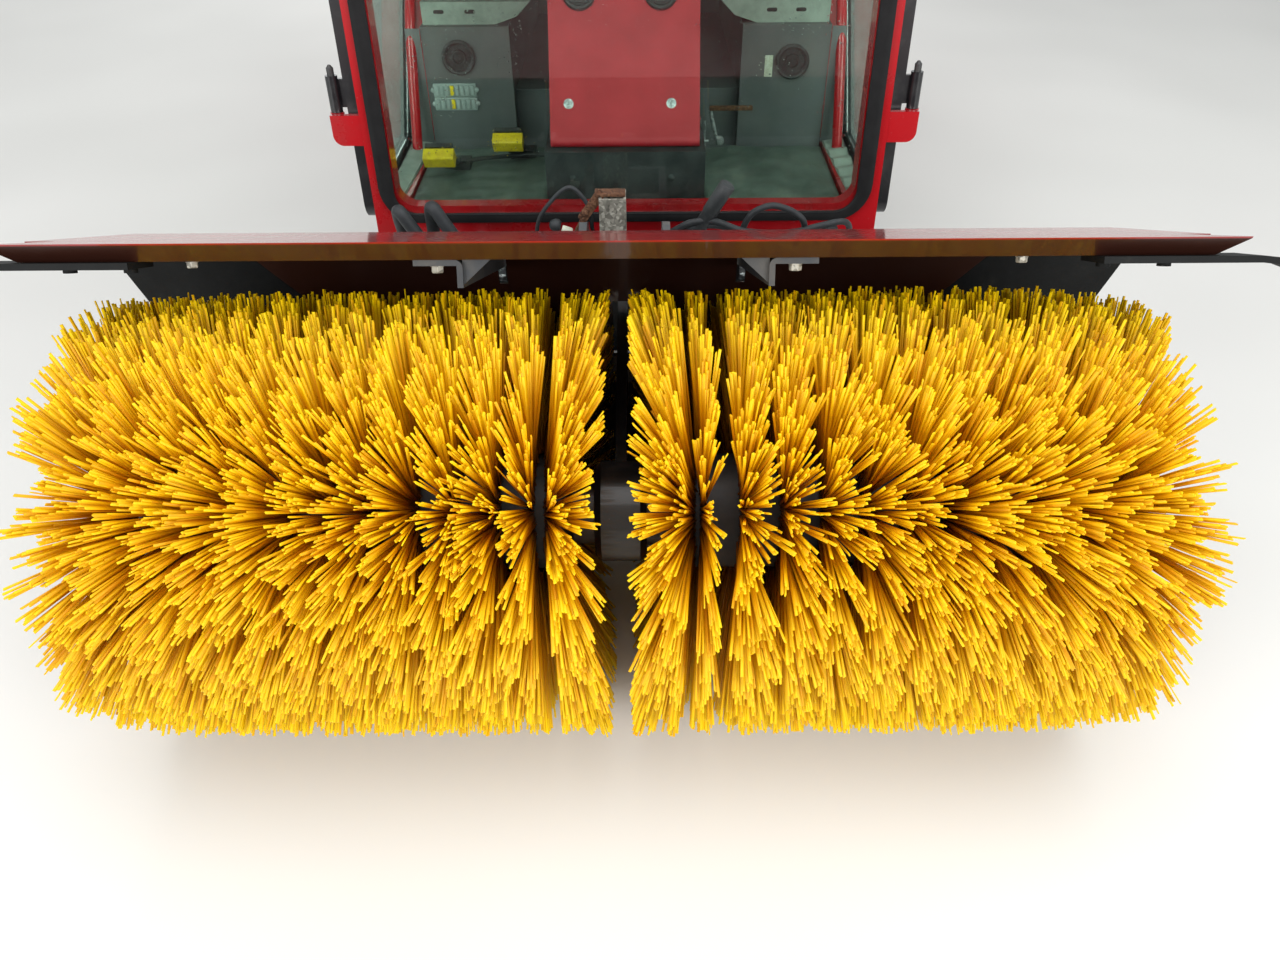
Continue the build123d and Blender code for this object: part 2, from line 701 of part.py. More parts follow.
def cylinder(foot, eye, across, sizes):
    """Barrel and rod of a hydraulic cylinder between two pins that lie along the across axis."""
    bore, wall, rod_radius, eye_radius, eye_half, pin, closed = sizes
    reach = eye - foot
    place = Plane(origin=foot, x_dir=across, z_dir=reach)
    start, end = 32, closed - eye_radius - 5
    barrel = Rot(Y=90) * Cylinder(eye_radius, 2 * eye_half)
    barrel += Pos(0, 0, start / 2 + 1) * Cylinder(eye_half - 2, start + 2)
    barrel += Pos(0, 0, (start + end) / 2) * Cylinder(bore + wall, end - start)
    barrel -= Pos(0, 0, (start + end - 2) / 2) * Cylinder(bore, end - start - 18)
    barrel -= Pos(0, 0, end) * Cylinder(rod_radius + 0.4, 40)
    barrel += Rot(Y=90) * Cylinder(pin, 2 * eye_half + 24)
    piston = reach.length - closed + start + 20
    rod = Pos(0, 0, piston) * Cylinder(bore - 0.4, 20)
    rod += Pos(0, 0, (piston + reach.length) / 2 - 4) * Cylinder(rod_radius, reach.length - piston - 8)
    rod += Pos(0, 0, reach.length) * Rot(Y=90) * Cylinder(eye_radius, 2 * eye_half)
    return place * barrel, place * rod


def lift_cylinder():
    foot = Vector(0, *lift_foot)
    eye = Vector(0, lift_y, lift_z - lift_lever)
    return cylinder(foot, eye, (1, 0, 0), (24, 7, 15, 22, 20, 10, (eye - foot).length - 3))


def angle_cylinder():
    foot = Vector(*angle_foot, angle_z)
    eye = Vector(*angle_eye, angle_z)
    return cylinder(foot, eye, (0, 0, 1), (18, 6, 11, 17, 17, 9, 250.0))


def steer_cylinder():
    foot = Vector(*steer_foot, steer_z)
    eye = Vector(*steer_eye, steer_z)
    return cylinder(foot, eye, (0, 0, 1), (18, 7, 12, 19, 16, 10, 418.0))


# Broom

def ring_table(side):
    """Rings of one half: foot x, then the tips' low and high x, and how far they reach."""
    rows = list(near_rings[side])
    for i in range(ring_count):
        x = ring_first + i * ring_pitch
        flare = max(0, i - ring_count + 3)
        reach = brush_radius - 4 * flare ** 1.4
        rows.append((x, x - 28 + 4 * flare ** 1.6, x + 28 + 8 * flare ** 1.4, reach))
    return rows


def tuft(base_x, tip_low, tip_high, reach):
    """One clump of bristles, thin at the core and fanned at the tips."""
    foot = brush_base - 6
    half_wide = math.pi * reach / tufts_round * 0.9
    rise = math.sqrt(reach ** 2 - half_wide ** 2)
    front = outline([
        (base_x - ring_foot / 2, foot), (tip_low, rise),
        (tip_high, rise), (base_x + ring_foot / 2, foot),
    ])
    side = outline([(-8, foot), (-half_wide, rise), (half_wide, rise), (8, foot)])
    return cross_plate(front, (-brush_radius, brush_radius)) & side_plate(side, (0, 2 * core_half))


def brush_half(side):
    """The yellow bristle rings of one half, on the sleeve that slides onto the core."""
    rows = ring_table(side)
    first, last = rows[0][0] - 10, rows[-1][0] + 12
    sleeve_sides = 2 * tufts_round
    flats = RegularPolygon(brush_base, sleeve_sides, major_radius=False, rotation=180 / sleeve_sides)
    sleeve = extrude(Plane.YZ.offset(first) * flats, amount=last - first, dir=(1, 0, 0))
    sleeve -= bar((first - 1, 0, 0), (last + 1, 0, 0), core_radius + seat_gap)
    clumps = []
    for i, row in enumerate(rows):
        one = tuft(*row)
        for k in range(tufts_round):
            clumps.append(Rot(X=(k + 0.5 * (i % 2)) * 360 / tufts_round) * one)
    half = sleeve + clumps
    if side < 0:
        half = mirror(half, about=Plane.YZ)
    return Pos(0, broom_axis, brush_radius) * half


def roller_core():
    """Core tubes of both halves with end discs, on one shaft through the centre arm."""
    section = outline([
        (0, 0), (core_half, 0), (core_half, core_radius), (core_gap, core_radius),
        (core_gap, shaft_radius), (0, shaft_radius),
    ])
    half = revolve(Plane.XZ * section, axis=Axis.X)
    half -= bar((core_half - 90, 0, 0), (core_half + 1, 0, 0), core_radius - 12)
    half += bar((core_half - 91, 0, 0), (core_half - 4, 0, 0), 22)
    return Pos(0, broom_axis, brush_radius) * both_sides(half)


def centre_arm():
    """Slim arm between the two halves, with the bearing housing and the motor behind it."""
    axis = (broom_axis, brush_radius)
    seat, half = beam_y - beam_size / 2, beam_size / 2 - 5
    profile = outline([
        (axis[0] - 10, axis[1] + 62), (axis[0] - 10, axis[1] - 62), (axis[0] + 60, axis[1] - 58),
        (seat, beam_z - half), (seat, beam_z + half),
    ])
    arm = side_plate(profile, (-centre_arm_half, centre_arm_half))
    end = core_gap - 6
    housing = outline([
        (-end, 0), (-end, 46), (-end + 8, 54), (-40, 54), (-40, 72), (-30, 80), (30, 80),
        (40, 72), (40, 54), (end - 8, 54), (end, 46), (end, 0),
    ])
    arm += Pos(0, *axis) * revolve(Plane.XZ * housing, axis=Axis.X)
    return arm - bar((-core_gap, *axis), (core_gap, *axis), shaft_radius + 0.5)


def broom_beam():
    """Cross tube behind the broom, with the swivel head and the lugs of the angle cylinder."""
    low, high = beam_z - beam_size / 2, beam_z + beam_size / 2
    y0, y1 = beam_y - beam_size / 2, beam_y + beam_size / 2
    beam = block((-beam_half, beam_half), (y0, y1), (low, high))
    beam -= block((-beam_half - 1, beam_half + 1), (y0 + 6, y1 - 6), (low + 6, high - 6))
    beam += both_sides(block((beam_half - 4, beam_half + 4), (y0, y1), (low, high)))
    foot, head = swivel_z
    beam += Pos(0, swivel_y, (foot + head) / 2) * Cylinder(swivel_radius, head - foot)
    middle = (foot + 16 + 24 + 4, head - 40 - 4)
    beam += Pos(0, swivel_y, (middle[0] + middle[1]) / 2) * Cylinder(48, middle[1] - middle[0])
    beam += block((-48, 48), (y0, swivel_y), middle)
    x, y = angle_eye
    hanger = block((x - 42, x - 34), (y - 22, y + 22), (angle_z - 27, low + 2))
    for z in (angle_z - 27, angle_z + 19):
        hanger += block((x - 35, x + 24), (y - 22, y + 22), (z, z + 8))
    return beam + hanger


# The hood's slope, and a plane on its top with its Y running back and down, and +Z out of the sheet
slope = math.radians(hood_slope)
hood_edge = (broom_axis + hood_lip[0], hood_lip[1])
hood_plane = Plane(
    origin=(0, *hood_edge), x_dir=(1, 0, 0), z_dir=(0, math.sin(slope), math.cos(slope)),
)


def hood_section():
    """The hood's folds in (Y, Z): return, flange foot, front edge, rear edge and rear foot."""
    back = math.radians(hood_flange_back)
    y, z = hood_edge
    flange = (y + hood_flange * math.sin(back), z - hood_flange * math.cos(back))
    inward = (flange[0] + hood_return * math.cos(slope), flange[1] - hood_return * math.sin(slope))
    rear = (y + hood_length * math.cos(slope), z - hood_length * math.sin(slope))
    return [inward, flange, hood_edge, rear, (broom_axis + hood_rear_foot[0], hood_rear_foot[1])]


def under_return():
    """How far below the hood's plane the return's underside lies, with the seating gap."""
    return -hood_flange * math.cos(slope + math.radians(hood_flange_back)) - seat_gap


def on_hood(x, back, z):
    """A box on the hood's plane between (low, high) pairs, with back measured from its edge."""
    size = Box(x[1] - x[0], back[1] - back[0], z[1] - z[0])
    middle = Pos((x[0] + x[1]) / 2, (back[0] + back[1]) / 2, (z[0] + z[1]) / 2)
    return hood_plane * middle * size


def hood_arms():
    """Two angle irons bolted under the hood's return, running back to the cross tube."""
    top, wall = under_return(), iron_wall
    inner, leg = iron_x, iron_x + iron_wall
    front, flange_run = 24.0, 340.0
    section = outline([
        (inner, 0), (iron_x + iron_wide, 0), (iron_x + iron_wide, -wall), (leg, -wall),
        (leg, -iron_deep), (inner, -iron_deep),
    ])
    bend = section.vertices().sort_by(lambda v: v.X - v.Y)[0]
    angle = extrude(Plane.XZ * fillet(bend, 1.4 * wall), amount=flange_run, dir=(0, 1, 0))
    iron = hood_plane * Pos(0, front, top) * angle
    web = on_hood((inner, leg), (front + flange_run - 1, 560), (top - iron_deep, top - wall))
    rear_face = beam_y + beam_size / 2 - 4
    iron += web & block((0, 400), (-3000, rear_face), (300, 900))
    gusset = Plane.XZ * outline([(1, 0), (-iron_deep, 0), (1, -iron_deep + 3)])
    iron += hood_plane * Pos(inner, front + 12, top) * extrude(gusset, amount=6)
    seat = beam_z + beam_size / 2 + seat_gap
    cheek = []
    for y in (beam_y - 36, beam_y + 36):
        cheek.append((y, hood_edge[1] - (y - hood_edge[0]) * math.tan(slope) + (top - 20) / math.cos(slope)))
    iron += side_plate(outline([(cheek[0][0], seat), (cheek[1][0], seat), cheek[1], cheek[0]]), (inner, leg))
    iron += block((inner - 22, leg + 22), (beam_y - 36, beam_y + 36), (seat, seat + wall))
    return Compound([iron, mirror(iron, about=Plane.YZ)])


def iron_slots(rear):
    """Slots behind the hood's rear edge, through which the angle irons pass."""
    wide = (iron_x - 4, iron_x + iron_wall + 4)
    return both_sides(block(wide, (rear[0] - 26, rear[0] + 40), (rear[1] - 100, rear[1] - 2)))


def hood():
    """Folded steel hood: return, front flange, sloping top and a rear plate with cut corners."""
    folds = hood_section()
    rear, foot = folds[3:]
    sheet = side_plate(folded_strip(folds, hood_sheet), (-hood_half, hood_half))
    wide, narrow, start, end = hood_corner
    corner = outline([
        (hood_half + 1, rear[1] - start), (wide, rear[1] - start), (narrow, rear[1] - end),
        (narrow, foot[1] - 20), (hood_half + 1, foot[1] - 20),
    ])
    sheet -= both_sides(cross_plate(corner, (rear[0] - 20, foot[0] + 40)))
    edge = hood_edge[1]
    tip = outline([
        (hood_half + 1, edge - 1), (hood_half, edge - 3), (hood_half - 70, edge - 60),
        (hood_half + 1, edge - 60),
    ])
    sheet -= both_sides(cross_plate(tip, (hood_edge[0] - 60, hood_edge[0] + 90)))
    return sheet - iron_slots(rear) - block((-18, 18), (rear[0] - 20, foot[0] + 20), arm_slot)


def rear_flap():
    """Rubber skirt on the back of the hood's rear plate, hanging to just above the ground."""
    rear, foot = hood_section()[3:]
    run = (foot[0] - rear[0]) / (rear[1] - foot[1])
    drop, behind = 20.0, seat_gap + 6
    start = (rear[0] + drop * run + behind, rear[1] - drop)
    folds = [start, (foot[0] + behind, foot[1]), (foot[0] + 14, 62)]
    flap = side_plate(folded_strip(folds, 6.0), (-flap_half, flap_half))
    corner = outline([
        (flap_half + 1, start[1] - 30), (flap_half, start[1] - 30), (flap_half - 50, start[1] - 180),
        (flap_half - 50, 40), (flap_half + 1, 40),
    ])
    flap -= both_sides(cross_plate(corner, (rear[0] - 40, foot[0] + 60)))
    return flap - iron_slots(rear) - block((-18, 18), (rear[0] - 20, foot[0] + 40), arm_slot)


def side_flaps():
    """Rubber strips bolted under the hood's return, reaching out past its ends."""
    low, thick = under_return(), 9.0
    section = Plane(origin=hood_plane.origin, x_dir=(1, 0, 0), z_dir=(0, -math.cos(slope), math.sin(slope)))
    bend = [(640, low), (850, low), (905, low - 6), (945, low - 20), (962, low - 36)]
    one = extrude(section * folded_strip(bend, thick), amount=-70)
    for x in (662, 745):
        one += hood_plane * Pos(x, 50, low - thick - 3) * Cylinder(9, 8)
    return Compound([one, mirror(one, about=Plane.YZ)])


# Rear frame

def rear_chassis():
    """Two rails with the rear pivot lugs and pin, the steering lug and the bumper."""
    low, high = rail_high
    wall_y = 112.0
    frame = both_sides(block((rail_x - 7, rail_x + 7), (wall_y, rear_body_rear + 2), (low, high)))
    wall_z = (rear_lugs[0], rear_lugs[1] + lug_plate + 8)
    frame += block((-rail_x - 7, rail_x + 7), (wall_y, wall_y + 20), wall_z)
    for y in (420, 1180):
        frame += block((-rail_x, rail_x), (y, y + 14), (low, high))
    for z in rear_lugs:
        lug = block((-lug_radius + 4, lug_radius - 4), (0, wall_y + 1), (z, z + lug_plate))
        frame += lug + Pos(0, 0, z + lug_plate / 2) * Cylinder(lug_radius - 4, lug_plate)
    top = front_lugs[1] + lug_plate + 8
    frame += Pos(0, 0, (front_lugs[0] - 8 + top) / 2) * Cylinder(pin_radius, top - front_lugs[0] + 8)
    x, y = steer_eye
    frame += block((x - 30, x + 42), (wall_y, wall_y + 20), (steer_z - 26, rear_lugs[0] + 1))
    for z in (steer_z - 26, steer_z + 18):
        frame += block((x - 22, x + 22), (y, wall_y + 1), (z, z + 8)) + Pos(x, y, z + 4) * Cylinder(22, 8)
    bumper = block((-470, 470), (rear_body_rear + 2, machine_rear), (430, 560))
    bumper = fillet(bumper.edges().filter_by(Axis.Z), 26)
    g = seat_gap
    (x0, x1), (z0, z1) = lamp_x, lamp_z
    pocket_y = (machine_rear - lamp_deep - g, machine_rear + 1)
    bumper -= both_sides(block((x0 - g, x1 + g), pocket_y, (z0 - g, z1 + g)))
    frame += bumper - block((-tow_lug - 6, tow_lug + 6), (rear_body_rear + 12, machine_rear + 1), (429, 561))
    for low_face, thick, hole in (
        (tow_z - tow_plate / 2, tow_plate, tow_radius), (tow_z + 40, 12, tow_radius + 1.5),
    ):
        plate = block((-tow_lug, tow_lug), (rear_body_rear + 1, tow_y), (low_face, low_face + thick))
        plate += Pos(0, tow_y, low_face + thick / 2) * Cylinder(tow_lug, thick)
        frame += plate - Pos(0, tow_y, low_face + thick / 2) * Cylinder(hole, thick + 2)
    backing_y = (rear_body_rear + 1, rear_body_rear + 12)
    frame += block((-tow_lug, tow_lug), backing_y, (tow_z - tow_plate / 2, 440))
    for x in (-60, 60):
        for z in (465, 525):
            frame -= bar((x, machine_rear - 30, z), (x, machine_rear + 1, z), 6.5)
    return frame


def rear_body():
    """Lower bodywork of the rear frame: an open-bottomed shell with the rear wheel arches."""
    wall = 5.0
    low, high = rail_high[1] + seat_gap, 722.0
    shell = block((-rear_body_half, rear_body_half), (rear_body_front, rear_body_rear), (low, high))
    shell = fillet(shell.edges().filter_by(Axis.Z), 60)
    hollow_y = (rear_body_front + wall, rear_body_rear - wall)
    inside = block((wall - rear_body_half, rear_body_half - wall), hollow_y, (low + wall, high + 1))
    shell -= fillet(inside.edges().filter_by(Axis.Z), 60 - wall)
    shell -= block((-rail_x + 4, rail_x - 4), (380, 1130), (low - 1, low + wall + 1))
    shell -= both_sides(wheel_cut(rear_axle_y, (296, 500)))
    for x in (300, 420):
        eye = bar((x, *cover_hinge), (x + 30, *cover_hinge), 11)
        strap_z = (cover_hinge[1] - 30, cover_hinge[1] - 2)
        eye += block((x, x + 30), (rear_body_rear - 3, cover_hinge[0]), strap_z)
        eye -= bar((x - 1, *cover_hinge), (x + 31, *cover_hinge), 6.35)
        eye -= block((x - 1, x + 31), (rear_body_rear - 4, rear_body_rear + 0.5), (high, high + 20))
        shell += both_sides(eye)
    reach = arch_radius + 4
    wall_y = (rear_axle_y - reach, rear_axle_y + reach)
    return shell + both_sides(block((290, 296), wall_y, (low, high - 1)))


def fenders(axle_y, inner, low):
    """Black mudguards over one axle's wheels, cut off level at the body's lower edge."""
    outer = fender_half
    ring = bar((inner, axle_y, tyre_radius), (outer, axle_y, tyre_radius), arch_radius + 8)
    ring -= wheel_cut(axle_y, (inner - 1, outer + 1))
    ring &= block((inner, outer), (axle_y - 400, axle_y + 400), (low, 800))
    return both_sides(ring)


def engine_block():
    """Diesel engine on its cradle: crankcase, head, rocker cover, flywheel, pulleys and pump."""
    foot_half = rail_x - 7 - seat_gap
    half_case = [(70, 396), (84, 470), (118, 500), (118, 560), (92, 600), (92, 700)]
    case = outline([(-x, z) for x, z in half_case[::-1]] + half_case, 6)
    engine = cross_plate(case, (520, 900))
    for y in (560, 820):
        engine += block((-foot_half, foot_half), (y, y + 40), (430, 500))
    head = outline([(-84, 699), (84, 699), (84, 752), (-84, 752)], 8)
    cover = outline([(-52, 751), (52, 751), (46, 800), (-46, 800)], 10)
    engine += cross_plate(head, (526, 894)) + cross_plate(cover, (540, 880))
    for y0, y1, z, radius in (
        (899, 950, 520, 112), (949, 1060, 520, 62), (480, 521, 500, 62), (470, 521, 650, 48),
    ):
        engine += bar((0, y0, z), (0, y1, z), radius)
    engine += block((-48, 48), (1040, 1100), (470, 570))
    engine += bar((150, 560, 790), (150, 860, 790), 72) + bar((84, 700, 740), (150, 700, 790), 26)
    engine += bar((-172, 560, 640), (-172, 850, 640), 56) + bar((-84, 640, 690), (-172, 640, 640), 20)
    return engine


def engine_hood():
    """Tilting hood over the engine, hollow, with a falling back and louvred rear grille."""
    low, front, rear = 722 + seat_gap + 5, rear_body_front, rear_body_rear
    top, back_top = 1120.0, 1010.0
    profile = outline([
        (front, low), (front + 16, top - 40), (front + 90, top), (960, top), (rear - 40, back_top),
        (rear, back_top - 70), (rear, low),
    ])
    shell = side_plate(profile, (-486, 486))
    shell = fillet(upper_edges(shell, 480, low + 60), 30)
    hollow = side_plate(outline([
        (front + 7, low - 1), (front + 22, top - 46), (front + 94, top - 7), (958, top - 7),
        (rear - 45, back_top - 6), (rear - 7, back_top - 74), (rear - 7, low - 1),
    ]), (-479, 479))
    shell -= fillet(upper_edges(hollow, 470, low + 60), 23)
    y, z = cover_hinge
    for x in (331, 451):
        eye = bar((x - 34, y, z), (x + 1, y, z), 6) + bar((x, y, z), (x + 24, y, z), 11)
        shell += both_sides(eye + block((x, x + 24), (rear - 3, y + 10), (z, z + 40)))
    for i in range(6):
        z = low + 50 + i * 34
        shell -= block((-300, 300), (rear - 20, rear + 5), (z, z + 16))
        shell -= both_sides(block((470, 500), (front + 120, front + 420), (z, z + 14)))
    return shell


def upper_edges(shape, half, low):
    """Edges of a shape's side faces above a height."""
    return shape.edges().filter_by(lambda e: abs(e.center().X) > half and e.center().Z > low)


def tail_lamps():
    """Light clusters in the bumper's ends."""
    return both_sides(block(lamp_x, (machine_rear - lamp_deep, machine_rear - 1), lamp_z))


def build():
    os.makedirs("parts", exist_ok=True)
    for name, side, axle_y in (
        ("front_left", 1, front_axle_y), ("front_right", -1, front_axle_y),
        ("rear_left", 1, rear_axle_y), ("rear_right", -1, rear_axle_y),
    ):
        save(f"tyre_{name}", tyre(side, axle_y))
        save(f"rim_{name}", rim(side, axle_y))
    save("front_axle", axle(front_axle_y, tyre_radius - axle_beam / 2))
    save("rear_axle", axle(rear_axle_y, tyre_radius - axle_beam / 2))
    save("front_chassis", front_chassis())
    save("cab_tub", cab_tub())
    save("cab_frame", cab_frame())
    save("cab_roof", cab_roof())
    save("windscreen", windscreen())
    save("windscreen_seal", windscreen_seal())
    save("fixed_glass", fixed_glass())
    for name, side in (("left", 1), ("right", -1)):
        leaf, pane = door(side)
        save(f"door_{name}", leaf)
        save(f"door_glass_{name}", pane)
    save("hinge_brackets", hinge_brackets())
    save("console", console())
    save("console_base", console_base())
    save("dashboard", dashboard())
    arms, pads = pedals()
    save("pedal_arms", arms)
    save("pedal_pads", pads)
    pans, cushions = seats()
    save("seat_pans", pans)
    save("seat_cushions", cushions)
    save("mirrors", mirrors())
    save("roof_lamps", roof_lamps())
    save("beacon", beacon())
    save("wiper", wiper())
    save("front_couplings", front_couplings())
    save("lift_arm", lift_arm())
    save("coupler_post", coupler_post())
    for name, (barrel, rod) in (
        ("lift", lift_cylinder()), ("angle", angle_cylinder()), ("steer", steer_cylinder()),
    ):
        save(f"{name}_barrel", barrel)
        save(f"{name}_rod", rod)
    for name, side in (("left", 1), ("right", -1)):
        save(f"brush_{name}", brush_half(side))
    save("roller_core", roller_core())
    save("centre_arm", centre_arm())
    save("broom_beam", broom_beam())
    save("hood_arms", hood_arms())
    save("hood", hood())
    save("rear_flap", rear_flap())
    save("side_flaps", side_flaps())
    save("rear_chassis", rear_chassis())
    save("rear_body", rear_body())
    save("fenders_front", fenders(front_axle_y, cab_half + seat_gap, 560))
    save("fenders_rear", fenders(rear_axle_y, rear_body_half + seat_gap, 500))
    save("engine_block", engine_block())
    save("engine_hood", engine_hood())
    save("tail_lamps", tail_lamps())


if __name__ == "__main__":
    build()
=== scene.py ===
import json
import math

import bmesh
import bpy
import numpy as np
from mathutils import Matrix, Vector


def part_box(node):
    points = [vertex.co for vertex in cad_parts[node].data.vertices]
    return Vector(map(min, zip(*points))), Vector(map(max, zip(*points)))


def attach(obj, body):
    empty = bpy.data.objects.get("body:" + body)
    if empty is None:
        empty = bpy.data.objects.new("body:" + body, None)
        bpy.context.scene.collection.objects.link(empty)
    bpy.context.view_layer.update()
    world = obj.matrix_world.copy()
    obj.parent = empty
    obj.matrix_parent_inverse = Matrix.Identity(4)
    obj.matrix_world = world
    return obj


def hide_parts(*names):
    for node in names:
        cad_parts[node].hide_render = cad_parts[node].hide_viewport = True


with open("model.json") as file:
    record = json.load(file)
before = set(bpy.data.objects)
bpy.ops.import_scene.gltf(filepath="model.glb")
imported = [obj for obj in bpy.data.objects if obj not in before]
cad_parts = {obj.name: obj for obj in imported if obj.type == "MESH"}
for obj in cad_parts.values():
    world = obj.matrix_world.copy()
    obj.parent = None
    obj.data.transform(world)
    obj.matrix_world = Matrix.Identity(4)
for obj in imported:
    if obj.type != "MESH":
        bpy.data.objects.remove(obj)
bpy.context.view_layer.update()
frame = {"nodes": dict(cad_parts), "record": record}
nodes = frame["nodes"]
mm = 0.001


# helpers

def toLinear(hexColour):
    # sRGB hex to the linear values that Blender's sockets take
    out = []
    for i in (1, 3, 5):
        part = int(hexColour[i:i + 2], 16) / 255
        out.append(part / 12.92 if part <= 0.04045 else ((part + 0.055) / 1.055) ** 2.4)
    return (*out, 1.0)


def sized(place, sizeMm, **more):
    # a texture's inputs, for features about this many millimetres across
    return {"Vector": place, "Scale": 1000.0 / sizeMm, **more}


def addNode(tree, kind, inputs=None, stops=(), **settings):
    # an input is a value, a socket, or a node whose first output is meant; stops are (place, hex or grey)
    node = tree.nodes.new("ShaderNode" + kind)
    for name, value in settings.items():
        setattr(node, name, value)
    while stops and len(node.color_ramp.elements) < len(stops):
        node.color_ramp.elements.new(0.5)
    for k, (place, value) in enumerate(stops):
        element = node.color_ramp.elements[k]
        element.position = place
        element.color = toLinear(value) if isinstance(value, str) else (value, value, value, 1)
    for name, value in (inputs or {}).items():
        if isinstance(value, bpy.types.Node):
            value = value.outputs[0]
        if isinstance(value, bpy.types.NodeSocket):
            tree.links.new(value, node.inputs[name])
        else:
            node.inputs[name].default_value = value
    return node


def newMaterial(name):
    material = bpy.data.materials.new(name)
    material.use_nodes = True
    tree = material.node_tree
    tree.nodes.clear()
    place = addNode(tree, "TexCoord").outputs["Object"]
    return material, tree, place


def closeMaterial(tree, sockets, height=None, depthMm=0.2, dull=None):
    # the shader with its bump, its roughness as (value, low, high), and the output
    if dull:
        sockets["Roughness"] = addNode(tree, "MapRange", dict(zip(("Value", "To Min", "To Max"), dull)))
    if height is not None:
        bump = addNode(tree, "Bump", {"Strength": 1.0, "Distance": depthMm * mm, "Height": height})
        sockets = {**sockets, "Normal": bump}
    addNode(tree, "OutputMaterial", {"Surface": addNode(tree, "BsdfPrincipled", sockets)})


def addObject(name, data):
    thing = bpy.data.objects.new(name, data)
    bpy.context.scene.collection.objects.link(thing)
    return thing


# materials

# part.py's millimetres start at the pin, this many metres behind the front axle
pinBehind = 0.575
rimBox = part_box("rim_front_left")
shift = (rimBox[0].y + rimBox[1].y) / 2 + pinBehind
# the hood's plane, which the painted shade below it and its bolts go by
slope = math.radians(23)
hoodEdge = (-2407, 806)
hoodUp = Vector((0, math.sin(slope), math.cos(slope)))


def powderCoat(name, spec):
    # powder-coated steel: even colour with a fine orange peel, and road film gathered in soft patches
    material, tree, place = newMaterial(name)
    film = addNode(tree, "TexNoise", sized(place, spec["filmMm"], Detail=7.0, Roughness=0.68))
    mask = addNode(tree, "ValToRGB", {"Fac": film}, spec["filmStops"])
    specks = addNode(tree, "TexNoise", sized(place, spec["speckMm"], Detail=3.0, Roughness=0.8))
    dots = addNode(tree, "ValToRGB", {"Fac": specks}, [(0.66, 0.0), (0.74, 0.55)])
    dirty = addNode(tree, "Math", {0: mask, 1: dots}, operation="MAXIMUM")
    tint = addNode(tree, "Mix", {
        "Factor": dirty, 6: toLinear(spec["colour"]), 7: toLinear(spec["film"])}, data_type="RGBA")
    colour = tint.outputs[2]
    if "under" in spec:
        # painted shade on every face below the hood's top sheet, tinted brown as a painted reflection of
        # the yellow bristles
        edge = Vector((0, hoodEdge[0] * mm + shift, hoodEdge[1] * mm))
        height = addNode(tree, "VectorMath", {0: place, 1: tuple(hoodUp)}, operation="DOT_PRODUCT")
        shadeMask = addNode(tree, "MapRange", {
            "Value": height.outputs["Value"], "From Min": edge.dot(hoodUp) - 3 * mm,
            "From Max": edge.dot(hoodUp) - 1 * mm, "To Min": 1.0, "To Max": 0.0})
        colour = addNode(tree, "Mix", {
            "Factor": shadeMask, 6: colour, 7: toLinear(spec["under"])}, data_type="RGBA").outputs[2]
    peel = addNode(tree, "TexNoise", sized(place, 2.5, Detail=2.0))
    closeMaterial(tree, {
        "Base Color": colour, "Coat Weight": spec["coat"], "Coat Roughness": 0.06}, peel, 0.04,
        (dirty, spec["roughness"], spec["roughness"] + 0.28))
    return material


def galvanised(name, spec):
    # hot-dipped or plated steel: spangles a few millimetres wide, dull where salt has bloomed
    material, tree, place = newMaterial(name)
    spangle = addNode(tree, "TexVoronoi", sized(place, spec["spangleMm"]))
    bloom = addNode(tree, "TexNoise", sized(place, 30, Detail=6.0))
    tone = addNode(tree, "Mix", {
        "Factor": 0.55, 6: spangle.outputs["Color"], 7: bloom.outputs["Color"]}, data_type="RGBA")
    grey = addNode(tree, "RGBToBW", {"Color": tone.outputs[2]})
    colour = addNode(tree, "ValToRGB", {"Fac": grey}, spec["tones"])
    closeMaterial(tree, {
        "Base Color": colour, "Metallic": spec["metal"]}, bloom, 0.08,
        (grey, spec["roughness"], spec["roughness"] + 0.25))
    return material


def blackRubber(name, spec):
    # moulded rubber: almost black, greyed by dried road water, with a dull grain
    material, tree, place = newMaterial(name)
    dust = addNode(tree, "TexNoise", sized(place, spec["dustMm"], Detail=8.0, Roughness=0.7))
    colour = addNode(tree, "ValToRGB", {"Fac": dust}, spec["tones"])
    grain = addNode(tree, "TexNoise", sized(place, spec["grainMm"], Detail=4.0))
    closeMaterial(tree, {
        "Base Color": colour, "Specular IOR Level": spec["gloss"]}, grain, spec["depthMm"],
        (dust, spec["roughness"], spec["roughness"] + 0.2))
    return material


def mouldedPlastic(name, spec):
    # injection-moulded plastic: a spark-eroded grain that breaks the highlight, and faint scuffs
    material, tree, place = newMaterial(name)
    grain = addNode(tree, "TexVoronoi", sized(place, spec["grainMm"]))
    scuff = addNode(tree, "TexNoise", sized(place, spec["scuffMm"], Detail=8.0, Roughness=0.72))
    mask = addNode(tree, "ValToRGB", {"Fac": scuff}, [(0.42, 0.0), (0.72, 1.0)])
    tint = addNode(tree, "Mix", {
        "Factor": mask, 6: toLinear(spec["colour"]), 7: toLinear(spec["worn"])}, data_type="RGBA")
    closeMaterial(tree, {
        "Base Color": tint.outputs[2], "IOR": 1.49, "Coat Weight": spec["coat"]}, grain, spec["depthMm"],
        (mask, spec["roughness"], spec["roughness"] + 0.18))
    return material


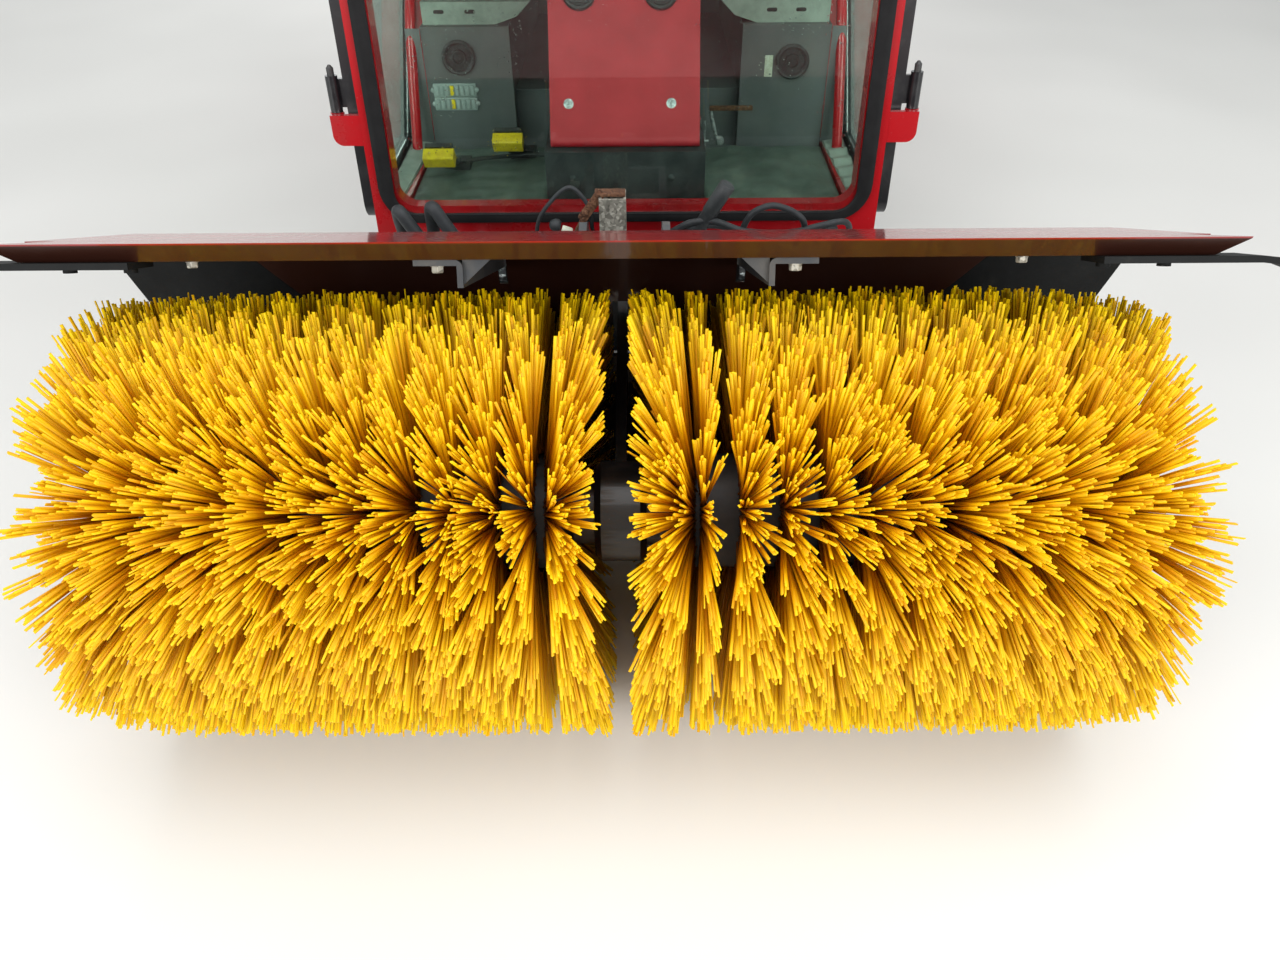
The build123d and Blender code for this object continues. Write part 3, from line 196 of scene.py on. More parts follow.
def tintedGlass(name):
    # laminated glass with a green tint, a film of dust and standing rain drops
    material, tree, place = newMaterial(name)
    drops = addNode(tree, "TexVoronoi", sized(place, 11))
    bead = addNode(tree, "ValToRGB", {"Fac": drops}, [(0.05, 1.0), (0.16, 0.0)])
    here = addNode(tree, "TexNoise", sized(place, 60, Detail=4.0))
    wet = addNode(tree, "ValToRGB", {"Fac": here}, [(0.48, 0.0), (0.62, 1.0)])
    height = addNode(tree, "Math", {0: bead, 1: wet}, operation="MULTIPLY")
    bump = addNode(tree, "Bump", {"Strength": 0.5, "Distance": 0.6 * mm, "Height": height})
    film = addNode(tree, "ValToRGB", {"Fac": here}, [(0.3, "#D6E4DE"), (0.8, "#C6D6CF")])
    glass = addNode(tree, "BsdfPrincipled", {
        "Base Color": film, "Roughness": 0.02, "IOR": 1.45, "Transmission Weight": 1.0,
        "Normal": bump})
    clear = addNode(tree, "BsdfTransparent", {"Color": toLinear("#E9F4EE")})
    rays = addNode(tree, "LightPath")
    mixed = addNode(tree, "MixShader", {0: rays.outputs["Is Shadow Ray"], 1: glass, 2: clear})
    addNode(tree, "OutputMaterial", {"Surface": mixed})
    return material


def embossedVinyl(name):
    # embossed vinyl seat cover: leather-like cells about 2 mm wide with a soft sheen
    material, tree, place = newMaterial(name)
    cells = addNode(tree, "TexVoronoi", sized(place, 2.4), feature="DISTANCE_TO_EDGE")
    folds = addNode(tree, "TexNoise", sized(place, 70, Detail=5.0))
    colour = addNode(tree, "ValToRGB", {"Fac": folds}, [(0.3, "#222426"), (0.7, "#34373A")])
    height = addNode(tree, "Math", {0: cells, 1: folds}, operation="ADD")
    closeMaterial(tree, {
        "Base Color": colour, "Roughness": 0.52, "Sheen Weight": 0.15}, height, 0.5)
    return material


def mirrorGlass(name):
    # silvered glass with a breath of dust that dulls the reflection in patches
    material, tree, place = newMaterial(name)
    dust = addNode(tree, "TexNoise", sized(place, 45, Detail=6.0))
    tone = addNode(tree, "ValToRGB", {"Fac": dust}, [(0.4, "#C9D0D2"), (0.8, "#AEB4B4")])
    closeMaterial(tree, {"Base Color": tone, "Metallic": 1.0}, dull=(dust, 0.02, 0.14))
    return material


def drawnBristle(name):
    # drawn polypropylene straps: saturated yellow, with painted shade turning them orange and brown towards
    # the core, each strap its own tone
    material, tree, place = newMaterial(name)
    offset = addNode(tree, "VectorMath", {0: place, 1: rollerAxis}, operation="SUBTRACT")
    flat = addNode(tree, "VectorMath", {0: offset, 1: (0.0, 1.0, 1.0)}, operation="MULTIPLY")
    away = addNode(tree, "VectorMath", {0: flat}, operation="LENGTH")
    # painted shade: the colour runs from brown at the core to yellow at the tips, shading the depth of the
    # brush
    along = addNode(tree, "MapRange", {
        "Value": away.outputs["Value"], "From Min": 0.11, "From Max": 0.35})
    colour = addNode(tree, "ValToRGB", {"Fac": along}, [
        (0.0, "#7A4300"), (0.25, "#CC8C00"), (0.55, "#E6AE00"), (0.85, "#F0C600"), (1.0, "#F2CC00")])
    strand = addNode(tree, "Attribute", attribute_name="strandTone")
    shade = addNode(tree, "ValToRGB", {"Fac": strand.outputs["Fac"]}, [
        (0.0, "#F0D4CC"), (0.35, "#FAF4EC"), (0.8, "#FFFFFF")])
    tint = addNode(tree, "VectorMath", {0: colour, 1: shade}, operation="MULTIPLY")
    film = addNode(tree, "TexNoise", sized(place, 9, Detail=1.0))
    closeMaterial(tree, {
        "Base Color": tint, "IOR": 1.49, "Specular IOR Level": 0.3}, dull=(film, 0.34, 0.55))
    return material


def table(keys, rows):
    # one dictionary a row, with the columns' names as its keys
    return {name: dict(zip(keys.split(), values)) for name, *values in rows}


paints = table("colour film filmMm filmStops speckMm roughness coat", [
    ("red_paint", "#B0141C", "#7A2A26", 160, [(0.5, 0.0), (0.78, 0.5)], 9, 0.24, 0.6),
    ("black_paint", "#16171A", "#4A4A48", 120, [(0.5, 0.0), (0.8, 0.6)], 7, 0.34, 0.25),
    ("grey_paint", "#565A5D", "#6A655C", 70, [(0.42, 0.0), (0.8, 0.8)], 6, 0.42, 0.1),
    ("dark_steel", "#2B2D30", "#57524A", 90, [(0.42, 0.0), (0.78, 0.8)], 8, 0.46, 0.05),
    ("wet_red", "#9A1119", "#6A2F28", 140, [(0.46, 0.0), (0.8, 0.6)], 8, 0.32, 0.7),
    ("cab_lining", "#5E6062", "#70716C", 110, [(0.42, 0.0), (0.8, 0.6)], 7, 0.5, 0.05),
    ("console_red", "#A00F1E", "#7A3034", 150, [(0.55, 0.0), (0.8, 0.3)], 7, 0.55, 0.04),
    ("rim_paint", "#C9CBCA", "#7B7468", 80, [(0.45, 0.0), (0.8, 0.7)], 6, 0.36, 0.2),
])
# painted shade below the hood's top sheet: dark brown for the shade, with a painted reflection of the
# yellow bristles
paints["wet_red"]["under"] = "#2E150D"
metals = table("spangleMm tones roughness metal", [
    ("zinc_steel", 5, [(0.3, "#8E9294"), (0.6, "#C3C6C6"), (0.8, "#E0E2E1")], 0.34, 0.9),
    ("aged_zinc", 6, [(0.25, "#4E4B44"), (0.5, "#8F8C82"), (0.75, "#CFCCC0")], 0.55, 0.25),
    ("rusty_steel", 4, [(0.3, "#3A2418"), (0.55, "#6B4732"), (0.8, "#8E6A4E")], 0.7, 0.1),
    ("engine_iron", 3, [(0.3, "#2E3032"), (0.6, "#454648"), (0.8, "#5E5A52")], 0.5, 0.5),
])
rubbers = table("dustMm tones grainMm roughness depthMm gloss", [
    ("tyre_rubber", 60, [(0.35, "#1B1B1C"), (0.6, "#2C2B2A"), (0.8, "#4B473F")], 4, 0.7, 0.25, 0.4),
    ("seal_rubber", 40, [(0.3, "#101011"), (0.7, "#1C1C1D")], 2, 0.5, 0.08, 0.2),
    ("hose_rubber", 30, [(0.3, "#232527"), (0.6, "#34373A"), (0.8, "#4A4D4F")], 2, 0.5, 0.08, 0.4),
    ("mat_rubber", 120, [(0.3, "#4C5650"), (0.55, "#626C64"), (0.75, "#7D857A")], 5, 0.42, 0.5, 0.4),
    ("flap_rubber", 90, [(0.35, "#101111"), (0.6, "#1A1B1B"), (0.8, "#302F2B")], 3, 0.5, 0.2, 0.12),
])
plastics = table("colour worn grainMm scuffMm roughness depthMm coat", [
    ("dark_plastic", "#1F2123", "#3A3C3D", 1.8, 50, 0.48, 0.08, 0.0),
    ("worn_plastic", "#2E3133", "#4A4D4E", 2.2, 30, 0.55, 0.1, 0.0),
    ("clear_plastic", "#A9B1AF", "#8B9391", 5, 20, 0.25, 0.1, 0.5),
    ("pale_label", "#DDE0CE", "#B9BCA4", 3, 14, 0.5, 0.05, 0.0),
    ("roof_plastic", "#B0161C", "#8E2A2A", 6, 220, 0.26, 0.02, 0.4),
    ("grey_plastic", "#9DA69D", "#7D867F", 2, 60, 0.46, 0.06, 0.0),
    ("pedal_yellow", "#F2D21B", "#C7A52A", 3, 14, 0.4, 0.1, 0.0),
    ("amber_plastic", "#F08A10", "#D87908", 9, 60, 0.16, 0.3, 0.6),
    ("lamp_plastic", "#D9DBD8", "#BFC1BC", 9, 60, 0.12, 0.4, 0.8),
    ("red_lens", "#8C0D12", "#7A1512", 7, 60, 0.14, 0.4, 0.8),
])

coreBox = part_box("roller_core")
rollerAxis = (0.0, sum(c[1] for c in coreBox) / 2, sum(c[2] for c in coreBox) / 2)
finishes = {}
for maker, group in (
        (powderCoat, paints), (galvanised, metals), (blackRubber, rubbers), (mouldedPlastic, plastics)):
    for slotName, spec in group.items():
        finishes[slotName] = maker(slotName, spec)
for maker, slotName in (
        (tintedGlass, "tinted_glass"), (embossedVinyl, "seat_vinyl"), (mirrorGlass, "mirror_glass"),
        (drawnBristle, "bristle_plastic")):
    finishes[slotName] = maker(slotName)

ownFinish = {"console": "console_red", "cab_tub": "cab_lining", "coupler_post": "aged_zinc",
             "hood": "wet_red", "hood_arms": "dark_steel"}
for part in frame["record"]["subparts"]:
    shown = nodes[part["node"]]
    shown.data.materials.clear()
    shown.data.materials.append(finishes[ownFinish.get(part["node"], part["material_slot"])])
print("materials on", len(nodes), "nodes")


# camera, floor and light

cameraPlace = {"location": (0.033, -2.8355, 1.358), "down": 39.4, "roll": 0.45, "yaw": 0.15,
               "lens": 27.0, "sensor": 36.0}


def makeCamera():
    data = bpy.data.cameras.new("camera")
    data.lens = cameraPlace["lens"]
    data.sensor_width = cameraPlace["sensor"]
    eye = addObject("camera", data)
    turn = Matrix.Rotation(math.radians(cameraPlace["yaw"]), 4, "Z")
    turn = turn @ Matrix.Rotation(math.radians(90 - cameraPlace["down"]), 4, "X")
    turn = turn @ Matrix.Rotation(math.radians(-cameraPlace["roll"]), 4, "Z")
    eye.matrix_world = Matrix.Translation(cameraPlace["location"]) @ turn
    bpy.context.scene.camera = eye


studio = {"floorSize": 60.0, "floorColour": "#E3E3E0", "worldColour": "#E9EBEC", "worldLight": 0.55}
lamps = table("at aim size watts", [
    ("overhead", (0.5, -2.2, 5.0), (0.0, -1.2, 0.4), (5.0, 4.0), 140.0),
    ("front_left", (3.2, -5.2, 2.2), (0.0, -1.7, 0.3), (3.2, 2.2), 165.0),
    ("front_right", (-3.4, -5.0, 2.2), (0.0, -1.7, 0.3), (3.2, 2.2), 155.0),
    ("rear", (-1.5, 5.5, 3.6), (0.0, 0.6, 0.7), (3.5, 2.5), 110.0),
])


def makeStudio():
    mesh = bpy.data.meshes.new("floor")
    half = studio["floorSize"] / 2
    corners = [(-half, -half, 0), (half, -half, 0), (half, half, 0), (-half, half, 0)]
    mesh.from_pydata(corners, [], [(0, 1, 2, 3)])
    floor = addObject("floor", mesh)
    material, tree, place = newMaterial("smooth_floor")
    mottle = addNode(tree, "TexNoise", sized(place, 900, Detail=1.0))
    tone = addNode(tree, "ValToRGB", {"Fac": mottle}, [
        (0.3, studio["floorColour"]), (0.7, "#E9E9E6")])
    closeMaterial(tree, {"Base Color": tone, "Roughness": 0.75, "Specular IOR Level": 0.0})
    mesh.materials.append(material)
    world = bpy.data.worlds.new("studio")
    bpy.context.scene.world = world
    world.use_nodes = True
    tree = world.node_tree
    tree.nodes.clear()
    rays = addNode(tree, "LightPath")
    clear = addNode(tree, "Math", {
        0: rays.outputs["Is Glossy Ray"], 1: rays.outputs["Is Transmission Ray"]}, operation="ADD")
    seen = addNode(tree, "Math", {
        0: rays.outputs["Is Camera Ray"], 1: clear}, operation="ADD", use_clamp=True)
    soft = addNode(tree, "Background", {
        "Color": toLinear(studio["worldColour"]), "Strength": studio["worldLight"]})
    shown = addNode(tree, "Background", {"Color": toLinear(studio["worldColour"]), "Strength": 1.0})
    both = addNode(tree, "MixShader", {0: seen, 1: soft, 2: shown})
    addNode(tree, "OutputWorld", {"Surface": both})
    for name, lamp in lamps.items():
        data = bpy.data.lights.new(name, "AREA")
        data.shape = "RECTANGLE"
        data.size, data.size_y = lamp["size"]
        data.energy = lamp["watts"]
        light = addObject(name, data)
        at = Vector(lamp["at"])
        light.location = at
        light.rotation_euler = (Vector(lamp["aim"]) - at).to_track_quat("-Z", "Y").to_euler()
    bpy.context.scene.view_settings.view_transform = "Standard"


makeCamera()
makeStudio()
print("camera and studio")


# shapes that the pieces share

def spot(x, y, z):
    # a place in the machine's millimetres, which part.py uses, as metres of the frame
    return Vector((x * mm, y * mm + shift, z * mm))


def newPiece(name, shape, slotName, finish=None, body="front_frame", replaced=(), sharp=35):
    # a mesh object with smooth sides and crisp edges, riding one body
    bmesh.ops.recalc_face_normals(shape, faces=shape.faces)
    mesh = bpy.data.meshes.new(name)
    shape.to_mesh(mesh)
    shape.free()
    mesh.shade_smooth()
    mesh.set_sharp_from_angle(angle=math.radians(sharp))
    mesh.materials.append(finishes[finish or slotName])
    piece = addObject(name, mesh)
    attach(piece, body)
    if replaced:
        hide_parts(*replaced)
    return piece


def skin(shape, rows, closed=True):
    # faces between neighbouring rows of corners
    for low, high in zip(rows, rows[1:]):
        for k in range(len(low) if closed else len(low) - 1):
            after = (k + 1) % len(low)
            shape.faces.new([low[k], low[after], high[after], high[k]])


def lathe(shape, at, axis, profile, sides=32):
    # revolves (radius, height) pairs in millimetres; six sides make a nut
    axis = Vector(axis).normalized()
    across = axis.orthogonal().normalized()
    beside = axis.cross(across)
    rings = []
    for radius, height in profile:
        centre = at + axis * height * mm
        count = sides if radius > 0 else 1
        turns = [2 * math.pi * k / sides for k in range(count)]
        rings.append([shape.verts.new(
            centre + (across * math.cos(t) + beside * math.sin(t)) * radius * mm) for t in turns])
    for low, high in zip(rings, rings[1:]):
        for k in range(sides):
            after = (k + 1) % sides
            around = ((low, k), (low, after), (high, after), (high, k))
            corners = list(dict.fromkeys(ring[j % len(ring)] for ring, j in around))
            if len(corners) > 2:
                shape.faces.new(corners)


def sweep(shape, points, radius, sides=14, steps=8):
    # a round hose along a smooth line through the points
    line = []
    ends = [points[0] * 2 - points[1], *points, points[-1] * 2 - points[-2]]
    for a, b, c, d in zip(ends, ends[1:], ends[2:], ends[3:]):
        for k in range(steps):
            t = k / steps
            line.append(0.5 * (2 * b + (c - a) * t + (2 * a - 5 * b + 4 * c - d) * t * t
                               + (3 * b - 3 * c + d - a) * t * t * t))
    line.append(points[-1])
    side = (line[1] - line[0]).orthogonal().normalized()
    rings = []
    for k, here in enumerate(line):
        ahead = (line[min(k + 1, len(line) - 1)] - line[max(k - 1, 0)]).normalized()
        side = (side - ahead * side.dot(ahead)).normalized()
        beside = ahead.cross(side)
        turns = [2 * math.pi * j / sides for j in range(sides)]
        rings.append([shape.verts.new(
            here + (side * math.cos(t) + beside * math.sin(t)) * radius * mm) for t in turns])
    skin(shape, rings)
    shape.faces.new(rings[0][::-1])
    shape.faces.new(rings[-1])


def slab(shape, corners, thick, at, soft=1.5, right=(1, 0, 0), up=(0, 0, 1)):
    # a plate of any outline with rounded edges; it grows along right x up
    right, up = Vector(right).normalized(), Vector(up).normalized()
    out = right.cross(up) * thick * mm
    flat = [at + (right * a + up * b) * mm for a, b in corners]
    low = [shape.verts.new(p) for p in flat]
    high = [shape.verts.new(p + out) for p in flat]
    faces = [shape.faces.new(low[::-1]), shape.faces.new(high)]
    for k in range(len(flat)):
        after = (k + 1) % len(flat)
        faces.append(shape.faces.new([low[k], low[after], high[after], high[k]]))
    edges = list({edge for face in faces for edge in face.edges})
    bmesh.ops.bevel(shape, geom=edges, offset=soft * mm, segments=2, profile=0.5, affect="EDGES")


def rectangle(wide, tall):
    return [(-wide / 2, -tall / 2), (wide / 2, -tall / 2), (wide / 2, tall / 2), (-wide / 2, tall / 2)]


def rounded(wide, tall, radius, steps=5):
    points = []
    for k, (a, b) in enumerate(((1, 1), (-1, 1), (-1, -1), (1, -1))):
        for j in range(steps):
            turn = math.pi / 2 * (k + j / (steps - 1))
            points.append((a * (wide / 2 - radius) + radius * math.cos(turn),
                           b * (tall / 2 - radius) + radius * math.sin(turn)))
    return points


def bolt(shape, at, axis, flats):
    # washer, hexagon head with a chamfer, and the dished mark on top
    lathe(shape, at, axis, [(0, 0), (flats * 0.62, 0), (flats * 0.62, flats * 0.1), (0, flats * 0.1)], 24)
    reach = flats * 0.577
    lathe(shape, at, axis, [
        (0, flats * 0.1), (reach, flats * 0.1), (reach, flats * 0.55), (reach * 0.88, flats * 0.66),
        (reach * 0.55, flats * 0.66), (reach * 0.4, flats * 0.6), (0, flats * 0.6)], 6)


# roller bristles

bristles = {
    "wide": 3.7, "thick": 1.7, "perClump": 5, "perWidth": 29, "footRadius": 98, "footWide": 5,
    "reach": 350, "first": 183, "pitch": 60, "count": 10, "halfRing": 27,
    "near": {1: ((108, 14, 84), (124, 106, 131)), -1: ((108, 14, 82), (132, 110, 150))},
    "clumpLean": 0.017, "sway": 0.018, "clumpShift": 3.0, "clumpShort": 9, "lean": 0.014, "shift": 6.0,
    "nearShift": 3.2, "short": 15, "wander": 2.2, "nearWander": 0.8, "broken": 0.04,
    "brokenShort": (10, 80), "armClear": 15,
}


def ringTable(side):
    # foot, low and high tip and reach of each ring; the outermost rings flare out and stay shorter
    rows = [(*row, bristles["reach"]) for row in bristles["near"][side]]
    for k in range(bristles["count"]):
        x = bristles["first"] + k * bristles["pitch"]
        flare = max(0, k - bristles["count"] + 3)
        low = x - bristles["halfRing"] + 4 * flare ** 1.6
        high = x + bristles["halfRing"] + 8 * flare ** 1.4
        rows.append((x, low, high, bristles["reach"] - 4 * flare ** 1.4))
    return rows


def growRing(row, draw):
    # feet and tips as (x, turn, radius) in millimetres; each clump leans and wanders its own way
    foot, low, high, reach = row
    near = foot < bristles["first"]
    clumps = int((high - low) * bristles["perWidth"] / bristles["perClump"])
    turn = (np.arange(clumps) + draw.uniform(-0.5, 0.5, clumps)) * 2 * math.pi / clumps
    middle = low + draw.uniform(0, 1, clumps) * (high - low)
    middle += draw.normal(0, bristles["clumpShift"], clumps)
    wander = bristles["nearWander" if near else "wander"]
    for wave in (2, 3, 5, 9):
        middle += draw.normal(0, wander) * np.sin(wave * turn + draw.uniform(0, 6.28))
    lean = turn + draw.normal(0, bristles["clumpLean"], clumps)
    for wave in (4, 7, 13):
        lean += draw.normal(0, bristles["sway"]) * np.sin(wave * turn + draw.uniform(0, 6.28))
    cut = reach - np.abs(draw.normal(0, bristles["clumpShort"], clumps))
    each = np.repeat(np.arange(clumps), bristles["perClump"])
    total = len(each)
    length = cut[each] - np.abs(draw.normal(0, bristles["short"], total))
    broken = draw.uniform(0, 1, total) < bristles["broken"]
    length -= broken * draw.uniform(*bristles["brokenShort"], total)
    tips = np.stack([middle[each] + draw.normal(0, bristles["nearShift" if near else "shift"], total),
                     lean[each] + draw.normal(0, bristles["lean"], total), length], 1)
    feet = np.stack([foot + draw.normal(0, bristles["footWide"] / 2, total),
                     turn[each] + draw.normal(0, 0.02, total), np.full(total, bristles["footRadius"])], 1)
    tips[:, 0] = np.maximum(tips[:, 0], bristles["armClear"])
    return feet, tips


def unroll(polar, side):
    x, turn, radius = polar.T
    return np.stack([side * x * mm, rollerAxis[1] + radius * mm * np.sin(turn),
                     rollerAxis[2] + radius * mm * np.cos(turn)], 1)


def bristleMesh(name, side, rows, seed):
    # every bristle is a flat strap with a square-cut tip
    draw = np.random.default_rng(seed)
    grown = [growRing(row, draw) for row in rows]
    feet = unroll(np.concatenate([feet for feet, tips in grown]), side)
    tips = unroll(np.concatenate([tips for feet, tips in grown]), side)
    total = len(feet)
    along = tips - feet
    along /= np.linalg.norm(along, axis=1)[:, None]
    across = np.cross(along, np.array([1.0, 0.0, 0.0]))
    across /= np.linalg.norm(across, axis=1)[:, None]
    beside = np.cross(along, across)
    spin = draw.uniform(0, 2 * math.pi, total)[:, None]
    flat = across * np.cos(spin) + beside * np.sin(spin)
    thin = beside * np.cos(spin) - across * np.sin(spin)
    wide = bristles["wide"] * mm * draw.uniform(0.8, 1.15, total)[:, None]
    thick = bristles["thick"] * mm
    rim = np.stack([flat * wide * a / 2 + thin * thick * b / 2
                    for a, b in ((1, 1), (-1, 1), (-1, -1), (1, -1))], 1)
    verts = np.concatenate([feet[:, None] + rim, tips[:, None] + rim], 1).reshape(-1, 3)
    base = np.arange(total)[:, None] * 8
    quads = [np.concatenate([base + k, base + (k + 1) % 4, base + 4 + (k + 1) % 4, base + 4 + k], 1)
             for k in range(4)]
    quads.append(base + 4 + np.arange(4)[None, :])
    loops = np.stack(quads, 1).ravel()
    mesh = bpy.data.meshes.new(name)
    mesh.vertices.add(len(verts))
    mesh.vertices.foreach_set("co", verts.ravel())
    mesh.loops.add(len(loops))
    mesh.loops.foreach_set("vertex_index", loops)
    mesh.polygons.add(total * 5)
    mesh.polygons.foreach_set("loop_start", np.arange(total * 5) * 4)
    mesh.update(calc_edges=True)
    tone = mesh.attributes.new("strandTone", "FLOAT", "POINT")
    tone.data.foreach_set("value", np.repeat(draw.uniform(0, 1, total), 8))
    mesh.materials.append(finishes["bristle_plastic"])
    piece = addObject(name, mesh)
    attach(piece, "roller")
    return piece


for side, word in ((1, "left"), (-1, "right")):
    rows = ringTable(side)
    for group, rings in (("inner", rows[:6]), ("outer", rows[6:])):
        tufts = bristleMesh(f"bristles_{word}_{group}", side, rings, 40 + side + 5 * int(rings[0][0]))
        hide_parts(f"brush_{word}")
        print("bristles", word, group, len(tufts.data.polygons))


# cab inside

floorMat = {"x": (187, 512), "y": (-1445, -1034), "top": 424, "cells": (56, 70), "ripple": 2.6,
            "waves": 9}


def foldedMat(shape, side, draw):
    # a rubber mat that has crept into shallow folds, with its edge turned down to the floor
    columns, rows = floorMat["cells"]
    waves = [(draw.uniform(0.004, 0.022), draw.uniform(0, math.pi), draw.uniform(0, 6.28))
             for k in range(floorMat["waves"])]
    grid = []
    for j in range(rows + 1):
        line = []
        for i in range(columns + 1):
            x = np.interp(i, (0, columns), floorMat["x"])
            y = np.interp(j, (0, rows), floorMat["y"])
            height = sum(math.sin((x * math.cos(a) + y * math.sin(a)) * f * 6.28 + p) for f, a, p in waves)
            edge = min(i, columns - i, j, rows - j) == 0
            z = floorMat["top"] - 5 if edge else floorMat["top"] + floorMat["ripple"] * height / 3
            line.append(shape.verts.new(spot(side * x, y, z)))
        grid.append(line)
    skin(shape, grid, closed=False)


shape = bmesh.new()
for side in (1, -1):
    foldedMat(shape, side, np.random.default_rng(7 + side))
newPiece("floor_mats", shape, "flap_rubber", "mat_rubber", sharp=80)

sillTrim = {"inner": (514, 530), "outer": (566, 566), "rear": -1006, "front": -1440, "z": 437, "steps": 44,
            "pitch": 62, "wave": {1: 4.0, -1: 0.6}}
shape = bmesh.new()
for side in (1, -1):
    strip = []
    for k in range(sillTrim["steps"] + 1):
        t = k / sillTrim["steps"]
        y = sillTrim["rear"] + (sillTrim["front"] - sillTrim["rear"]) * t
        wave = math.sin(6.28 * (y - sillTrim["rear"]) / sillTrim["pitch"])
        z = sillTrim["z"] + sillTrim["wave"][side] * wave
        low = sillTrim["inner"][0] + (sillTrim["inner"][1] - sillTrim["inner"][0]) * t
        strip.append([shape.verts.new(spot(side * x, y, h)) for x, h in (
            (low, z - 9), (low + 2, z), (sillTrim["outer"][0], z + 6), (sillTrim["outer"][1], z - 9))])
    skin(shape, strip, closed=False)
newPiece("sill_trims", shape, "grey_plastic")

consoleFace = {"foot": (-1434, 564), "head": (-1234, 930), "screws": (-125, 103.5), "screwZ": 650,
               "vents": (-98, 81), "ventZ": 851, "ventRadius": 37, "plugs": (-119.5, 103.5), "plugZ": 503.5,
               "plugY": -1448.1}


def onConsole(x, z, out=0.0):
    (y0, z0), (y1, z1) = consoleFace["foot"], consoleFace["head"]
    rise = Vector((0, y1 - y0, z1 - z0)).normalized()
    away = Vector((1, 0, 0)).cross(rise)
    return spot(x, y0 + (y1 - y0) * (z - z0) / (z1 - z0), z) + away * out * mm, away


shape = bmesh.new()
for x in consoleFace["screws"]:
    at, away = onConsole(x, consoleFace["screwZ"], 0.2)
    lathe(shape, at, away, [
        (0, 0), (11, 0), (11, 1.2), (7.2, 2.2), (6.4, 4.2), (3.0, 5.2), (1.6, 4.0), (0, 3.8)])
newPiece("console_screws", shape, "zinc_steel")
shape = bmesh.new()
for x in consoleFace["vents"]:
    at, away = onConsole(x, consoleFace["ventZ"], 0.2)
    r = consoleFace["ventRadius"]
    lathe(shape, at, away, [
        (r - 10, 0), (r, 0), (r, 4), (r - 3, 8), (r - 7, 8), (r - 9, 2), (r - 10, 0)], 40)
    lathe(shape, at, away, [(0, 3), (r - 12, 3), (r - 9, 0.5), (0, 0.5)], 40)
    for k in range(-2, 3):
        wide = 2 * math.sqrt((r - 9) ** 2 - (k * 10) ** 2)
        rise = away.cross(Vector((1, 0, 0)))
        slab(shape, rectangle(wide, 2.2), 4.5, at + away * 2 * mm + rise * k * 10 * mm, 0.6, up=rise)
for x in consoleFace["plugs"]:
    lathe(shape, spot(x, consoleFace["plugY"], consoleFace["plugZ"]), (0, -1, 0), [
        (0, 0), (8, 0), (8, 1), (5, 3), (0, 3.4)])
newPiece("console_vents", shape, "dark_plastic")

seatBox = {"face": -1025.2, "outlets": ((-421, 649), (419, 634)), "radius": 42}
shape = bmesh.new()
for x, z in seatBox["outlets"]:
    at, r = spot(x, seatBox["face"], z), seatBox["radius"]
    lathe(shape, at, (0, -1, 0), [
        (0, 1), (r * 0.3, 1), (r * 0.34, 6), (r * 0.42, 6), (r * 0.46, 2), (r * 0.72, 2), (r * 0.8, 9),
        (r * 0.9, 11), (r, 7), (r, 0), (0, 0)], 48)
    for k in range(8):
        turn = math.pi * k / 8
        along = Vector((math.cos(turn), 0, math.sin(turn)))
        slab(shape, rectangle(r * 1.5, 2), 4, at, 0.5, along, (-along.z, 0, along.x))
newPiece("seat_box_outlets", shape, "dark_plastic", "worn_plastic")

fuseStrips = {"x": (-493, -389), "z": (570, 536), "tall": 30, "cells": 8, "yellow": 3}
shape, bright = bmesh.new(), bmesh.new()
for z in fuseStrips["z"]:
    low, high = fuseStrips["x"]
    wide = (high - low) / fuseStrips["cells"]
    centre = spot((low + high) / 2, seatBox["face"], z)
    slab(shape, rounded(high - low + 6, fuseStrips["tall"] + 3, 3), 5, centre, 1)
    for x in (low - 4, high + 4):
        lathe(shape, spot(x, seatBox["face"], z), (0, -1, 0), [(0, 0), (6, 0), (6, 4), (3, 6), (0, 6)], 20)
    for k in range(fuseStrips["cells"]):
        at = spot(low + wide * (k + 0.5), seatBox["face"] - 5, z)
        lot = bright if k == fuseStrips["yellow"] else shape
        slab(lot, rectangle(wide * 0.72, fuseStrips["tall"] - 6), 4, at, 1)
newPiece("fuse_strips", shape, "grey_plastic", "clear_plastic")
newPiece("fuse_yellow", bright, "pedal_yellow")

shape = bmesh.new()
slab(shape, rectangle(20, 52), 0.8, spot(360, seatBox["face"], 623), 0.2)
newPiece("blank_label", shape, "lamp_plastic", "pale_label")

panSlots = {"y": -1004.4, "z": 750, "x": (-462, -385, 361, 433)}
shape = bmesh.new()
for x in panSlots["x"]:
    slab(shape, rounded(26, 9, 4.4), 0.7, spot(x, panSlots["y"], panSlots["z"]), 0.2)
newPiece("pan_slots", shape, "dark_plastic")

seatEnd = {"x": (511, 547), "y": -1027, "z": (431, 718)}
shape = bmesh.new()
wide, tall = (seatEnd[key][1] - seatEnd[key][0] for key in ("x", "z"))
for side in (1, -1):
    at = spot(side * sum(seatEnd["x"]) / 2, seatEnd["y"], sum(seatEnd["z"]) / 2)
    slab(shape, rectangle(wide, tall), 3, at, 0.8)
newPiece("seat_box_ends", shape, "dark_steel", "cab_lining")

seatTube = {"radius": 13, "points": (
    (547, -1082, 431), (541, -1045, 590), (534, -1000, 745), (531, -930, 800), (531, -780, 814),
    (532, -680, 816))}
shape = bmesh.new()
for side in (1, -1):
    sweep(shape, [spot(side * x, y, z) for x, y, z in seatTube["points"]], seatTube["radius"], 20)
newPiece("seat_side_tubes", shape, "red_paint")

